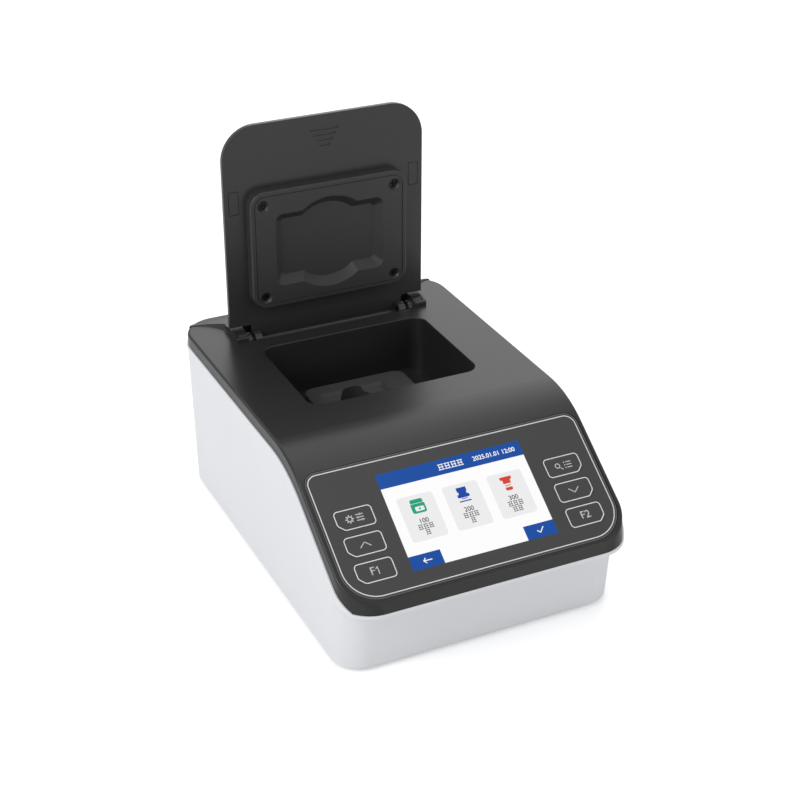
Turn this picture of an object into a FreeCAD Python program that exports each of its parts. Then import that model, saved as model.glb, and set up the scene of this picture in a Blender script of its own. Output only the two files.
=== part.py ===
import FreeCAD, Part
import Sketcher
import math
import os
import re

# Bench photometer for sample tubes: white lower housing, dark top cover with a sloping
# control panel, a measuring bay under a hinged lid, and the optics and boards inside.
# Millimetres, +Z up, +Y to the back, origin under the middle of the case on the table.

SIZES = {
    # Case
    "case_width": 146.4, "case_depth": 218.4, "deck_height": 85.6, "foot_height": 1.5,
    "corner_radius": 18.0, "wall": 2.5, "floor_wall": 2.5, "side_draft": 1.5, "lip_height": 1.4,
    "lip_proud": 0.3, "cover_inset": 0.6, "edge_radius": 1.2, "overrun": 10.0, "seat_gap": 0.2,
    # Fold between the flat deck and the sloping control panel
    "panel_angle": 33.76, "panel_run": 67.9, "bend_radius": 55.0, "front_lean": 2.3,
    "lean_reach": 11.0, "band_height": 6.2, "front_rim_height": 37.4,
    # Undercut front of the housing
    "scoop_drop": 0.7, "scoop_back": 5.0, "front_undercut": 13.2, "front_batter": 2.0,
    "flare_start": 28.5, "base_radius": 14.0, "base_edge": 1.0,
    # Measuring bay and its tube adapter
    "bay_width": 89.2, "bay_length": 66.56, "bay_setback": 15.8, "bay_radius": 7.0,
    "mouth_lip": 0.9, "mouth_edge": 0.4, "mouth_fit": 0.1,
    "bay_depth": 29.1, "liner_wall": 1.8, "adapter_width": 55.6, "adapter_length": 30.8,
    "adapter_rise": 7.0, "adapter_edge": 0.8, "adapter_radius": 6.0, "port_offset": -3.8,
    "port_inset": 26.6,
    "tube_radius": 8.2, "sleeve_wall": 2.0, "sleeve_gap": 0.3, "sleeve_depth": 47.0,
    "tube_floor": 2.0, "slot_width": 35.3, "slot_length": 13.2, "slot_depth": 2.5, "slot_lead": 1.3,
    # Optics under the bay
    "block_width": 52.0, "block_length": 30.0, "block_base": 6.5, "beam_height": 30.0,
    "beam_radius": 2.5, "lens_radius": 4.0, "lens_length": 3.0, "lens_fit": 0.05,
    "lamp_radius": 2.4, "lamp_length": 6.0, "sensor_radius": 3.0, "sensor_length": 3.0,
    "optic_board": 22.0, "board_thickness": 1.6,
    # Lid and hinge, modelled with the lid standing open
    "lid_width": 107.8, "lid_reach": 113.2, "lid_foot": 7.1, "lid_thickness": 3.6,
    "lid_radius": 18.0, "lid_gap": 0.2, "lid_edge": 1.6, "axis_inset": 30.0, "axis_drop": 2.2,
    "tongue_half": 42.2, "lug_radius": 4.0, "lug_length": 3.6, "ear_half_gap": 46.8, "ear_width": 6.4,
    "ear_reach": 5.6, "ear_length": 13.0, "ear_drop": 5.2, "ear_brow": 2.4, "brow_radius": 0.9,
    "ear_wall": 1.2, "ear_groove": 0.4, "ear_well": 0.5, "trough_ahead": 5.7, "trough_depth": 9.1,
    "trough_wall": 2.0,
    "stop_gap": 0.2, "swoop_inset": 7.2, "swoop_radius": 18.0, "swoop_slope": 5.4, "swoop_tail": 5.0,
    "crest_radius": 6.0,
    "pin_radius": 2.0, "pin_fit": 0.05, "pin_depth": 3.4, "collar_radius": 4.0, "collar_length": 2.7,
    # Pad on the inner face of the lid
    "pad_width": 85.2, "pad_length": 62.8, "pad_centre": 48.6, "pad_thickness": 5.8,
    "pad_radius": 8.0, "pad_chamfer": 0.8, "pad_border": 2.3, "line_width": 0.4, "line_depth": 0.4,
    "relief_width": 58.8, "relief_length": 38.6, "relief_radius": 4.0, "relief_round": 24.4,
    "relief_depth": 4.0, "relief_slope": 4.2, "relief_centre": 47.8, "pad_screw_x": 35.6,
    "pad_screw_z": 24.7, "sink_radius": 3.05, "sink_dish": 1.3, "sink_bore": 2.1, "sink_depth": 3.6,
    "pad_head": 2.0,
    # Magnets and finger mark on the lid
    "patch_width": 5.4, "patch_length": 12.3, "patch_depth": 0.6, "patch_x": 48.8,
    "patch_reach": 74.2, "patch_gap": 0.25, "magnet_fit": 0.05, "magnet_radius": 2.0, "magnet_length": 1.5,
    "magnet_x": 49.4, "magnet_boss": 2.8, "mark_top": 105.8, "mark_half": 7.8, "mark_pitch": 2.75,
    "mark_step": 1.6, "mark_height": 1.5, "mark_round": 0.7, "mark_depth": 0.4,
    # Control panel overlay, screen and keys
    "legend_top": 12.0, "legend_inset": 4.5, "legend_length": 62.87, "legend_low_radius": 15.0,
    "legend_top_radius": 5.0, "overlay_margin": 1.7, "overlay_fit": 0.3, "overlay_sink": 0.4,
    "overlay_thickness": 0.9, "screen_inset": 36.5, "screen_height": 48.8, "screen_rise": 7.17,
    "window_fit": 0.1, "module_side": 1.55, "module_height": 56.0, "module_thickness": 3.3,
    "module_fit": 0.4, "bracket_side": 4.75, "bracket_height": 50.0, "bracket_thickness": 1.0,
    "bracket_radius": 1.6, "bracket_frame": 6.6, "bracket_window_radius": 3.6,
    "post_side": 2.55, "post_y": 21.0, "post_radius": 1.9, "key_width": 18.6, "key_height": 10.1,
    "key_pitch": 13.2, "key_first": 12.0, "key_inset": 19.8, "key_radius": 1.6, "key_cut_radius": 3.6,
    "key_gap": 0.15, "key_flange": 0.8, "flange_thickness": 1.0, "flange_gap": 0.1,
    "key_room": 0.4, "key_board_gap": 1.8, "key_board_margin": 5.2, "dome_radius": 3.6,
    "dome_height": 1.45, "dome_taper": 40.0, "key_post_inset": 2.6, "key_board_radius": 1.0,
    # Screws and bosses
    "boss_inset": 11.2, "boss_back_inset": 17.2, "boss_behind_fold": 13.3, "boss_radius": 4.0,
    "boss_joint": 40.0, "boss_root": 1.0, "screw_radius": 1.5, "screw_fit": 0.05, "screw_clear": 0.2,
    "head_radius": 2.8, "head_height": 2.2, "head_room": 0.4, "screw_bite": 9.0,
    "small_screw": 1.25, "small_head": 2.4, "small_head_height": 1.6, "tiny_screw": 0.8,
    "tiny_head": 1.7, "tiny_head_height": 1.1, "tiny_bite": 1.4, "drive_width": 0.7,
    "drive_length": 3.0, "drive_depth": 0.8,
    # Main board
    "board_width": 84.0, "board_length": 62.0, "board_front_inset": 9.0, "board_lift": 5.0,
    "board_hole_inset": 4.0, "board_radius": 1.6, "standoff_radius": 3.0,
    "chip_size": 14.0, "chip_height": 1.4, "small_chip_width": 11.0, "small_chip_length": 8.0,
    "connector_width": 8.0, "connector_length": 30.0, "connector_height": 5.0,
    "strip_width": 25.0, "strip_length": 5.2, "strip_height": 2.6, "chip_offset": 22.0,
    # Feet
    "foot_radius": 6.0, "foot_sink": 1.0, "foot_fit": 0.05, "foot_inset": 21.2, "foot_back_inset": 26.0,
    "foot_front_inset": 38.0,
    # Rear connectors in their recess
    "recess_inset": 11.2, "recess_width": 88.0, "recess_low": 12.0, "recess_high": 42.0,
    "recess_depth": 3.4, "recess_radius": 3.0, "rocker_inset": 18.0, "socket_z": 27.0,
    "bezel_radius": 1.6,
    "bezel_width": 22.4, "bezel_height": 15.6, "bezel_thickness": 1.5, "bezel_wall": 1.2,
    "bezel_depth": 9.0, "rocker_half": 8.6, "rocker_half_height": 5.8, "rocker_room": 0.7,
    "rocker_side_room": 0.3, "rocker_tilt": 7.0, "rocker_pivot": 1.1, "rocker_tip": 3.2,
    "rocker_dip": 1.0, "rocker_root": 4.0, "rocker_root_depth": 4.0, "rocker_pin": 1.0,
    "rocker_pin_length": 0.6, "jack_pitch": 26.0, "jack_radius": 4.6, "jack_flange": 5.8,
    "jack_flange_thickness": 1.4, "jack_length": 12.0, "jack_bore": 2.9, "jack_bore_depth": 9.0,
    "jack_pin": 1.0, "usb_pitch": 24.0, "usb_width": 13.1, "usb_height": 5.7, "usb_length": 14.0,
    "usb_skin": 0.4, "usb_bore_depth": 10.0, "usb_tongue": 1.8, "usb_tongue_inset": 0.8,
    "usb_proud": 0.6,
}

# Places and sizes that follow from the ones above
RELATIONS = {
    "half": "case_width / 2", "front": "-case_depth / 2", "back": "case_depth / 2",
    "deck": "foot_height + deck_height", "rise": "tan(panel_angle * 1deg)",
    "bend": "front + panel_run", "crease_y": "front + cover_inset + front_lean",
    "crease_z": "deck - (bend - crease_y) * rise", "rim": "deck - band_height",
    "rim_front": "foot_height + front_rim_height", "rim_drop": "band_height / cos(panel_angle * 1deg)",
    "rim_fold": "bend + band_height * tan(panel_angle / 2 * 1deg)",
    "rim_toe": "bend - (deck - rim_drop - rim_front) / rise",
    "lean_rate": "front_lean / (crease_z - rim_front)",
    "lean_top": "rim_front + lean_reach / lean_rate",
    "lip": "rim - lip_height", "lip_front": "rim_front - lip_height",
    "lip_drop": "(band_height + lip_height) / cos(panel_angle * 1deg)",
    "lip_fold": "bend + (band_height + lip_height) * tan(panel_angle / 2 * 1deg)",
    "lip_toe": "bend - (deck - lip_drop - lip_front) / rise",
    "wall_drop": "wall / cos(panel_angle * 1deg)",
    "wall_fold": "bend + wall * tan(panel_angle / 2 * 1deg)",
    "toe_in": "crease_y + wall", "toe_in_z": "deck - (bend - toe_in) * rise - wall_drop",
    "floor_top": "foot_height + floor_wall", "cavity_front": "front + front_undercut + wall",
    "cavity_half": "half - lip_proud - side_draft - wall", "cavity_back": "back - lip_proud - wall",
    "flare_z": "foot_height + flare_start", "flare_rise": "lip_front - flare_z",
    "flare_y": "front + front_undercut - front_batter", "flare_reach": "front_undercut - front_batter",
    "bay_back": "axis_y - bay_setback", "bay_front": "bay_back - bay_length",
    "bay_floor": "deck - bay_depth", "port_y": "bay_back - port_inset",
    "adapter_top": "bay_floor + adapter_rise", "sleeve_radius": "tube_radius + sleeve_wall",
    "sleeve_low": "adapter_top - sleeve_depth", "block_top": "bay_floor - liner_wall",
    "axis_y": "back - axis_inset", "axis_z": "deck - axis_drop",
    "lid_face": "axis_y + axis_drop + lid_gap", "lid_rear": "lid_face + lid_thickness",
    "knuckle_inner": "lid_face - axis_y", "lid_low": "axis_z + lid_foot", "lid_top": "axis_z + lid_reach",
    "raised": "deck + lid_gap + lid_thickness", "ear_radius": "raised - axis_z",
    "ear_outer": "ear_half_gap + ear_width", "trough_front": "axis_y - trough_ahead",
    "trough_back": "lid_rear + stop_gap", "trough_floor": "deck - trough_depth",
    "swoop": "back - swoop_inset", "tail": "back - swoop_tail", "ear_front": "axis_y - ear_reach",
    "pad_z": "axis_z + pad_centre",
    "pad_face": "lid_face - pad_thickness", "relief_z": "axis_z + relief_centre",
    "patch_z": "axis_z + patch_reach", "legend_low": "-(legend_top + legend_length)",
    "legend_width": "case_width - 2 * legend_inset", "screen_width": "case_width - 2 * screen_inset",
    "module_width": "screen_width + 2 * module_side", "post_x": "module_width / 2 + post_side",
    "bracket_half": "module_width / 2 + bracket_side", "key_x": "half - key_inset",
    "screen_y": "legend_low + screen_rise + screen_height / 2",
    "overlay_back": "-(overlay_sink + overlay_thickness)",
    "flange_top": "overlay_back - flange_gap", "flange_low": "flange_top - flange_thickness",
    "module_back": "overlay_back - module_thickness", "key_board_top": "-wall - key_board_gap",
    "key_low_y": "legend_low + key_first", "key_top_y": "key_low_y + 2 * key_pitch",
    "key_mid_y": "key_low_y + key_pitch",
    "boss_x": "half - boss_inset", "boss_front_y": "bend + boss_behind_fold", "foot_x": "half - foot_inset",
    "boss_back": "back - boss_back_inset", "foot_back": "back - foot_back_inset",
    "foot_front": "front + foot_front_inset", "board_top": "floor_top + board_lift + board_thickness",
    "board_front": "cavity_front + board_front_inset", "board_mid": "board_front + board_length / 2",
    "recess_left": "recess_inset - half", "recess_right": "recess_left + recess_width",
    "rocker_x": "recess_left + rocker_inset", "jack_x": "rocker_x + jack_pitch",
    "usb_x": "jack_x + usb_pitch",
    "recess_floor": "back - lip_proud - recess_depth", "recess_inner": "recess_floor - wall",
    "bezel_face": "recess_floor + bezel_thickness", "pivot_y": "recess_floor - rocker_pivot",
    "magnet_y": "axis_y - patch_reach", "magnet_top": "deck - wall",
}

ZERO = "0"
FLARE_STEPS = 5
MARK_COUNT = 4

doc = FreeCAD.newDocument("bench_photometer")
sheet = doc.addObject("Spreadsheet::Sheet", "Sizes")
for row, (name, number) in enumerate(SIZES.items(), start=1):
    sheet.set("A%d" % row, name)
    sheet.set("B%d" % row, str(number))
    sheet.setAlias("B%d" % row, name)
doc.recompute()
nodes = []


def formula(text):
    """Turn plain size names into an expression on the sheet."""
    def swap(match):
        word = match.group(0)
        if word in RELATIONS:
            return "(" + formula(RELATIONS[word]) + ")"
        return "Sizes." + word if word in SIZES else word
    return re.sub(r"[a-z][a-z_]*", swap, str(text))


def value(text):
    return float(sheet.evalExpression(formula(text)))


def bind(item, prop, text):
    item.setExpression(prop, formula(text))


def node(item, label):
    item.Label = label
    nodes.append(item)
    return item


def body(name):
    item = doc.addObject("PartDesign::Body", name)
    item.AllowCompound = True
    return item


def sketch(owner, role, lift=ZERO):
    """A sketch on one of the body's own origin planes, lifted along its normal."""
    item = owner.newObject("Sketcher::SketchObject", "Sketch")
    plane = next(face for face in owner.Origin.OriginFeatures if face.Role == role)
    item.AttachmentSupport = [(plane, "")]
    item.MapMode = "FlatFace"
    bind(item, "AttachmentOffset.Base.z", lift)
    return item


def pin_point(item, geometry, place, x, y):
    """Tie a point of the sketch to the origin by two bound distances."""
    for kind, text in (("DistanceX", x), ("DistanceY", y)):
        index = item.addConstraint(Sketcher.Constraint(kind, -1, 1, geometry, place, value(text)))
        bind(item, "Constraints[%d]" % index, text)


def outline(item, points):
    """A closed outline: each point is x, y and, where its corner is round, a radius."""
    corners = []
    count = len(points)
    flat = [FreeCAD.Vector(value(point[0]), value(point[1]), 0) for point in points]
    for index, point in enumerate(points):
        corner = flat[index]
        towards = (flat[index - 1] - corner).normalize()
        onwards = (flat[(index + 1) % count] - corner).normalize()
        radius = value(point[2]) if len(point) > 2 else 0
        half_turn = towards.getAngle(onwards) / 2
        reach = radius / math.tan(half_turn)
        centre = corner
        if radius:
            centre = corner + (towards + onwards).normalize() * (radius / math.sin(half_turn))
        left = onwards.cross(towards).z > 0
        corners.append((corner + towards * reach, corner + onwards * reach, centre, radius, left))
    lines = []
    for index in range(count):
        ends = corners[index][1], corners[(index + 1) % count][0]
        lines.append(item.addGeometry(Part.LineSegment(*ends), False))
    for index, point in enumerate(points):
        vertex = item.addGeometry(Part.Point(flat[index]), True)
        pin_point(item, vertex, 1, point[0], point[1])
        before, after = lines[index - 1], lines[index]
        start, end, centre, radius, left = corners[index]
        if not radius:
            item.addConstraint(Sketcher.Constraint("Coincident", before, 2, vertex, 1))
            item.addConstraint(Sketcher.Constraint("Coincident", after, 1, vertex, 1))
            continue
        ends = [math.atan2(place.y - centre.y, place.x - centre.x) for place in (start, end)]
        ring = Part.Circle(centre, FreeCAD.Vector(0, 0, 1), radius)
        arc = item.addGeometry(Part.ArcOfCircle(ring, *(ends if left else ends[::-1])), False)
        first = 1 if left else 2
        item.addConstraint(Sketcher.Constraint("Tangent", before, 2, arc, first))
        item.addConstraint(Sketcher.Constraint("Tangent", arc, 3 - first, after, 1))
        item.addConstraint(Sketcher.Constraint("PointOnObject", vertex, 1, before))
        item.addConstraint(Sketcher.Constraint("PointOnObject", vertex, 1, after))
        index = item.addConstraint(Sketcher.Constraint("Radius", arc, radius))
        bind(item, "Constraints[%d]" % index, point[2])
    return item


def rectangle(item, x, y, width, height, radius=None):
    """A rectangle about its centre, its corners round where a radius is given."""
    low_x, high_x = "(%s) - (%s) / 2" % (x, width), "(%s) + (%s) / 2" % (x, width)
    low_y, high_y = "(%s) - (%s) / 2" % (y, height), "(%s) + (%s) / 2" % (y, height)
    points = [(low_x, low_y), (high_x, low_y), (high_x, high_y), (low_x, high_y)]
    if radius:
        points = [point + (radius,) for point in points]
    return outline(item, points)


def circle(item, x, y, radius):
    centre = FreeCAD.Vector(value(x), value(y), 0)
    ring = item.addGeometry(Part.Circle(centre, FreeCAD.Vector(0, 0, 1), value(radius)), False)
    pin_point(item, ring, 3, x, y)
    index = item.addConstraint(Sketcher.Constraint("Radius", ring, value(radius)))
    bind(item, "Constraints[%d]" % index, radius)
    return item


def pad(owner, profile, length, both=False, back=False):
    item = owner.newObject("PartDesign::Pad", "Pad")
    item.Profile = profile
    item.SideType = "Symmetric" if both else "One side"
    item.Reversed = back
    bind(item, "Length", length)
    return item


def pocket(owner, profile, length, both=False, back=False):
    item = owner.newObject("PartDesign::Pocket", "Pocket")
    item.Profile = profile
    item.SideType = "Symmetric" if both else "One side"
    item.Reversed = back
    bind(item, "Length", length)
    return item


def loft(owner, sections, cut=False, ruled=False):
    kind = "SubtractiveLoft" if cut else "AdditiveLoft"
    item = owner.newObject("PartDesign::" + kind, "Loft")
    item.Profile = sections[0]
    item.Sections = [(section, [""]) for section in sections[1:]]
    item.Ruled = ruled
    return item


def round_edges(owner, radius, wanted):
    """Round the edges of the body's last feature that the test picks."""
    doc.recompute()
    base = owner.Tip
    names = ["Edge%d" % (index + 1) for index, edge in enumerate(base.Shape.Edges) if wanted(edge)]
    item = owner.newObject("PartDesign::Fillet", "Fillet")
    item.Base = (base, names)
    bind(item, "Radius", radius)
    return item


def box(x, y, z, width, length, height):
    """A block about its middle in x and y, standing on z."""
    item = doc.addObject("Part::Box", "Block")
    bind(item, "Length", width)
    bind(item, "Width", length)
    bind(item, "Height", height)
    bind(item, "Placement.Base.x", "(%s) - (%s) / 2" % (x, width))
    bind(item, "Placement.Base.y", "(%s) - (%s) / 2" % (y, length))
    bind(item, "Placement.Base.z", z)
    return item


TURNS = {
    "x": FreeCAD.Rotation(FreeCAD.Vector(0, 1, 0), 90),
    "y": FreeCAD.Rotation(FreeCAD.Vector(1, 0, 0), -90),
    "z": FreeCAD.Rotation(),
}


def rod(axis, x, y, z, radius, length):
    """A cylinder that starts at a point and runs along an axis."""
    item = doc.addObject("Part::Cylinder", "Rod")
    item.Placement = FreeCAD.Placement(FreeCAD.Vector(), TURNS[axis])
    bind(item, "Radius", radius)
    bind(item, "Height", length)
    bind(item, "Placement.Base.x", x)
    bind(item, "Placement.Base.y", y)
    bind(item, "Placement.Base.z", z)
    return item


def dish(x, y, z, mouth, floor, depth):
    """A cone that narrows along +Y."""
    item = doc.addObject("Part::Cone", "Dish")
    item.Placement = FreeCAD.Placement(FreeCAD.Vector(), TURNS["y"])
    bind(item, "Radius1", mouth)
    bind(item, "Radius2", floor)
    bind(item, "Height", depth)
    bind(item, "Placement.Base.x", x)
    bind(item, "Placement.Base.y", y)
    bind(item, "Placement.Base.z", z)
    return item


def joined(items):
    item = doc.addObject("Part::MultiFuse", "Union")
    item.Shapes = items
    item.Refine = True
    return item


def shared(items):
    item = doc.addObject("Part::MultiCommon", "Shared")
    item.Shapes = items
    return item


def minus(base, tools):
    item = doc.addObject("Part::Cut", "Cut")
    item.Base = base
    item.Tool = tools[0] if len(tools) == 1 else joined(tools)
    return item


def group(items):
    item = doc.addObject("Part::Compound", "Group")
    item.Links = items
    return item


def on_panel(item):
    """Lay a piece modelled flat on the sloping panel: its own y runs up the slope."""
    item.Placement = FreeCAD.Placement(
        FreeCAD.Vector(), FreeCAD.Rotation(FreeCAD.Vector(1, 0, 0), value("panel_angle")))
    bind(item, "Placement.Base.y", "bend")
    bind(item, "Placement.Base.z", "deck")
    bind(item, "Placement.Rotation.Angle", "panel_angle * 1deg")
    return item


def screw(axis, x, y, z, shank, head, head_height, length):
    """A screw whose head starts at the point, with its shank beyond the head."""
    base = {"x": x, "y": y, "z": z}
    beyond = dict(base)
    beyond[axis] = "(%s) + (%s)" % (base[axis], head_height)
    parts = [
        rod(axis, x, y, z, head, head_height),
        rod(axis, beyond["x"], beyond["y"], beyond["z"], shank, length),
    ]
    return joined(parts)


BOSSES = [("boss_x", "boss_back"), ("-boss_x", "boss_back"),
          ("boss_x", "boss_front_y"), ("-boss_x", "boss_front_y")]
FEET = [("foot_x", "foot_back"), ("-foot_x", "foot_back"),
        ("foot_x", "foot_front"), ("-foot_x", "foot_front")]
BOARD_HOLES = [
    (side + "(board_width / 2 - board_hole_inset)", place)
    for side in ("", "-")
    for place in ("board_front + board_hole_inset", "board_front + board_length - board_hole_inset")
]
PAD_SCREWS = [(side_x + "pad_screw_x", "relief_z %s pad_screw_z" % side_z)
              for side_x in ("", "-") for side_z in ("+", "-")]
KEYS = [
    ("key_f_one", "-key_x", "key_low_y"), ("key_up", "-key_x", "key_mid_y"),
    ("key_settings", "-key_x", "key_top_y"), ("key_f_two", "key_x", "key_low_y"),
    ("key_down", "key_x", "key_mid_y"), ("key_list", "key_x", "key_top_y"),
]
POSTS = [(side_x + "post_x", "screen_y %s post_y" % side_z)
         for side_x in ("", "-") for side_z in ("+", "-")]
KEY_POSTS = [(side + "key_x", place) for side in ("", "-")
             for place in ("key_top_y + key_pitch / 2 + key_post_inset",
                           "key_low_y - key_pitch / 2 - key_post_inset")]


def side_profile(points, width):
    item = body("Profile")
    pad(item, outline(sketch(item, "YZ_Plane"), points), width, both=True)
    return item


def plan_block(inset, low, high, radius):
    """A block with the plan of the case, drawn in by an inset."""
    item = body("Plan")
    lower = sketch(item, "XY_Plane", low)
    rectangle(lower, ZERO, ZERO, "case_width - 2 * (%s)" % inset,
              "case_depth - 2 * (%s)" % inset, radius)
    pad(item, lower, "(%s) - (%s)" % (high, low))
    return item


def cover_plan():
    """The plan of the cover, whose front leans back and wraps round its two front corners."""
    item = body("CoverPlan")
    sections = []
    for z, lean in (("rim_front", ZERO), ("lean_top", "lean_reach")):
        section = sketch(item, "XY_Plane", z)
        half_x = "half - cover_inset"
        front_y = "front + cover_inset + %s" % lean
        turn = "corner_radius - cover_inset"
        outline(section, [
            ("-(%s)" % half_x, front_y, "%s - %s" % (turn, lean)),
            (half_x, front_y, "%s - %s" % (turn, lean)),
            (half_x, "back - cover_inset", turn), ("-(%s)" % half_x, "back - cover_inset", turn)])
        sections.append(section)
    loft(item, sections, ruled=True)
    pad(item, sections[1], "deck + overrun - lean_top")
    return item


def housing_section(owner, z, front_y, half_x, radius, inset=ZERO):
    item = sketch(owner, "XY_Plane", z)
    side, front_y = "%s - %s" % (half_x, inset), "%s + %s" % (front_y, inset)
    back_y = "back - lip_proud - %s" % inset
    points = [("-(%s)" % side, front_y, "%s - %s" % (radius, inset)),
              (side, front_y, "%s - %s" % (radius, inset)),
              (side, back_y, "corner_radius - %s" % inset),
              ("-(%s)" % side, back_y, "corner_radius - %s" % inset)]
    return outline(item, points)


def half_at(z):
    """Half width of the drafted housing at a height."""
    return "half - lip_proud - side_draft * (1 - ((%s) - foot_height) / (rim - foot_height))" % z


def make_housing():
    tub = body("Tub")
    foot = housing_section(tub, "foot_height", "front + front_undercut", half_at("foot_height"),
                           "base_radius",
                           "base_edge")
    low = housing_section(tub, "foot_height + base_edge", "front + front_undercut", half_at("foot_height"),
                          "base_radius")
    loft(tub, [foot, low], ruled=True)
    start = housing_section(tub, "flare_z", "flare_y", half_at("flare_z"), "base_radius")
    loft(tub, [low, start], ruled=True)
    flare = [start]
    for step in range(1, FLARE_STEPS + 1):
        turn = "%d / %d * 90deg" % (step, FLARE_STEPS)
        z = "flare_z + flare_rise * sin(%s)" % turn
        y = "flare_y - flare_reach * (1 - cos(%s))" % turn
        radius = "base_radius + (corner_radius - base_radius) * %d / %d" % (step, FLARE_STEPS)
        flare.append(housing_section(tub, z, y, half_at(z), radius))
    loft(tub, flare)
    top = housing_section(tub, "deck", "front", half_at("deck"), "corner_radius")
    loft(tub, [flare[-1], top], ruled=True)
    above = [("front - overrun", "lip_front"), ("lip_toe", "lip_front"),
             ("lip_fold", "lip", "bend_radius + band_height"),
             ("back + overrun", "lip"), ("back + overrun", "deck + overrun"),
             ("front - overrun", "deck + overrun")]
    pocket(tub, outline(sketch(tub, "YZ_Plane"), above), "2 * case_width", both=True)
    lip_points = [("front - overrun", "lip_front"), ("lip_toe", "lip_front"),
                  ("lip_fold", "lip", "bend_radius + band_height"),
                  ("back + overrun", "lip"), ("back + overrun", "rim"),
                  ("rim_fold", "rim", "bend_radius + band_height"),
                  ("rim_toe", "rim_front"), ("front - overrun", "rim_front")]
    lip = shared([side_profile(lip_points, "2 * case_width"),
                  plan_block(ZERO, ZERO, "deck", "corner_radius")])
    cavity = body("Cavity")
    inner = sketch(cavity, "XY_Plane", "floor_top")
    rectangle(inner, ZERO, "(cavity_front + cavity_back) / 2", "2 * cavity_half",
              "cavity_back - cavity_front", "base_radius - wall")
    pad(cavity, inner, "deck - floor_top")
    scoop = side_profile([("rim_toe", "rim_front - scoop_drop"),
                          ("cavity_front + wall", "rim_front - scoop_back"),
                          ("cavity_front + wall", "deck"), ("rim_toe", "deck")],
                          "2 * (key_x + key_width / 2 + wall / 2)")
    shell = minus(joined([tub, lip]), [cavity, scoop])
    extras = [box("(recess_left + recess_right) / 2", "(recess_inner + cavity_back) / 2 + wall / 2",
                  "recess_low",
                  "recess_right - recess_left", "cavity_back - recess_inner + wall",
                  "recess_high - recess_low")]
    for x, y in BOSSES:
        extras.append(rod("z", x, y, "foot_height", "boss_radius", "boss_joint - foot_height"))
    for x, y in BOARD_HOLES:
        extras.append(rod("z", x, y, "floor_top", "standoff_radius", "board_lift"))
    extras.append(box("port_offset", "port_y", "floor_top", "block_width", "block_length", "block_base"))
    holes = []
    for x, y in BOSSES:
        holes.append(rod("z", x, y, ZERO, "screw_radius + screw_clear", "deck"))
        holes.append(rod("z", x, y, ZERO, "head_radius + head_room", "foot_height + head_height + head_room"))
    for x, y in BOARD_HOLES:
        holes.append(rod("z", x, y, "floor_top", "small_screw + screw_fit", "board_lift + overrun"))
    for x, y in FEET:
        holes.append(rod("z", x, y, ZERO, "foot_radius + foot_fit", "foot_height + foot_sink"))
    recess = body("Recess")
    mouth = sketch(recess, "XZ_Plane", "-recess_floor")
    rectangle(mouth, "(recess_left + recess_right) / 2", "(recess_low + recess_high) / 2",
              "recess_right - recess_left - 2 * wall", "recess_high - recess_low - 2 * wall", "recess_radius")
    pad(recess, mouth, "recess_depth + overrun", back=True)
    holes.append(recess)
    holes.append(box("rocker_x", "recess_floor", "socket_z - bezel_height / 2 + bezel_wall",
                     "bezel_width - 2 * bezel_wall", "overrun", "bezel_height - 2 * bezel_wall"))
    holes.append(rod("y", "jack_x", "recess_inner - wall", "socket_z", "jack_radius + screw_fit", "overrun"))
    holes.append(box("usb_x", "recess_floor", "socket_z - usb_height / 2 - screw_fit",
                     "usb_width + 2 * screw_fit", "overrun", "usb_height + 2 * screw_fit"))
    node(minus(joined([shell] + extras), holes), "base_housing")


def panel_tool():
    """What is cut out of the cover's slope: overlay seat, screen opening and key openings."""
    item = body("PanelTool")
    seat = overlay_outline(sketch(item, "XY_Plane", "overlay_back"), "overlay_margin")
    pad(item, seat, "overrun")
    opening = sketch(item, "XY_Plane", "overlay_back")
    rectangle(opening, ZERO, "screen_y", "module_width + 2 * module_fit", "module_height + 2 * module_fit")
    pad(item, opening, "overrun", back=True)
    for side in ("", "-"):
        opening = sketch(item, "XY_Plane", "overlay_back")
        rectangle(opening, side + "key_x", "key_mid_y", "key_width + 2 * (key_flange + key_room)",
                  "2 * key_pitch + key_height + 2 * (key_flange + key_room)")
        pad(item, opening, "overrun", back=True)
    return on_panel(item)


def overlay_outline(item, margin):
    half_x = "legend_width / 2 + (%s)" % margin
    low = "legend_low - (%s)" % margin
    high = "-legend_top + (%s)" % margin
    return outline(item, [
        ("-(%s)" % half_x, low, "legend_low_radius + (%s)" % margin),
        (half_x, low, "legend_low_radius + (%s)" % margin),
        (half_x, high, "legend_top_radius + (%s)" % margin),
        ("-(%s)" % half_x, high, "legend_top_radius + (%s)" % margin)])


def crest():
    """Side view of the raised deck: the brow over the ears, a level top, and a fall to the back edge."""
    return side_profile([
        ("ear_front", "axis_z - ear_drop"), ("ear_front", "deck + ear_brow", "brow_radius"),
        ("axis_y", "raised", "crest_radius"), ("trough_back", "raised", "crest_radius"), ("tail", "deck"),
        ("tail", "axis_z - ear_drop")], "case_width")


def raised_deck():
    """The raised strip behind the lid, which sweeps forward to both ears and runs out to the back."""
    item = body("RaisedDeck")
    reach = "half + overrun"
    sections = []
    for z, slope in (("deck", ZERO), ("raised", "swoop_slope")):
        side = "ear_outer - " + slope
        turn = ("swoop + " + slope, "swoop_radius + " + slope)
        sections.append(outline(sketch(item, "XY_Plane", z), [
            ("-(%s)" % reach, "back + overrun"), ("-(%s)" % reach, turn[0]), ("-(%s)" % side, *turn),
            ("-(%s)" % side, "trough_back - wall"), (side, "trough_back - wall"), (side, *turn),
            (reach, turn[0]), (reach, "back + overrun")]))
    pad(item, sections[0], "wall / 2", back=True)
    loft(item, sections, ruled=True)
    return shared([item, crest(), plan_block("cover_inset", ZERO, "raised", "corner_radius - cover_inset")])


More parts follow.
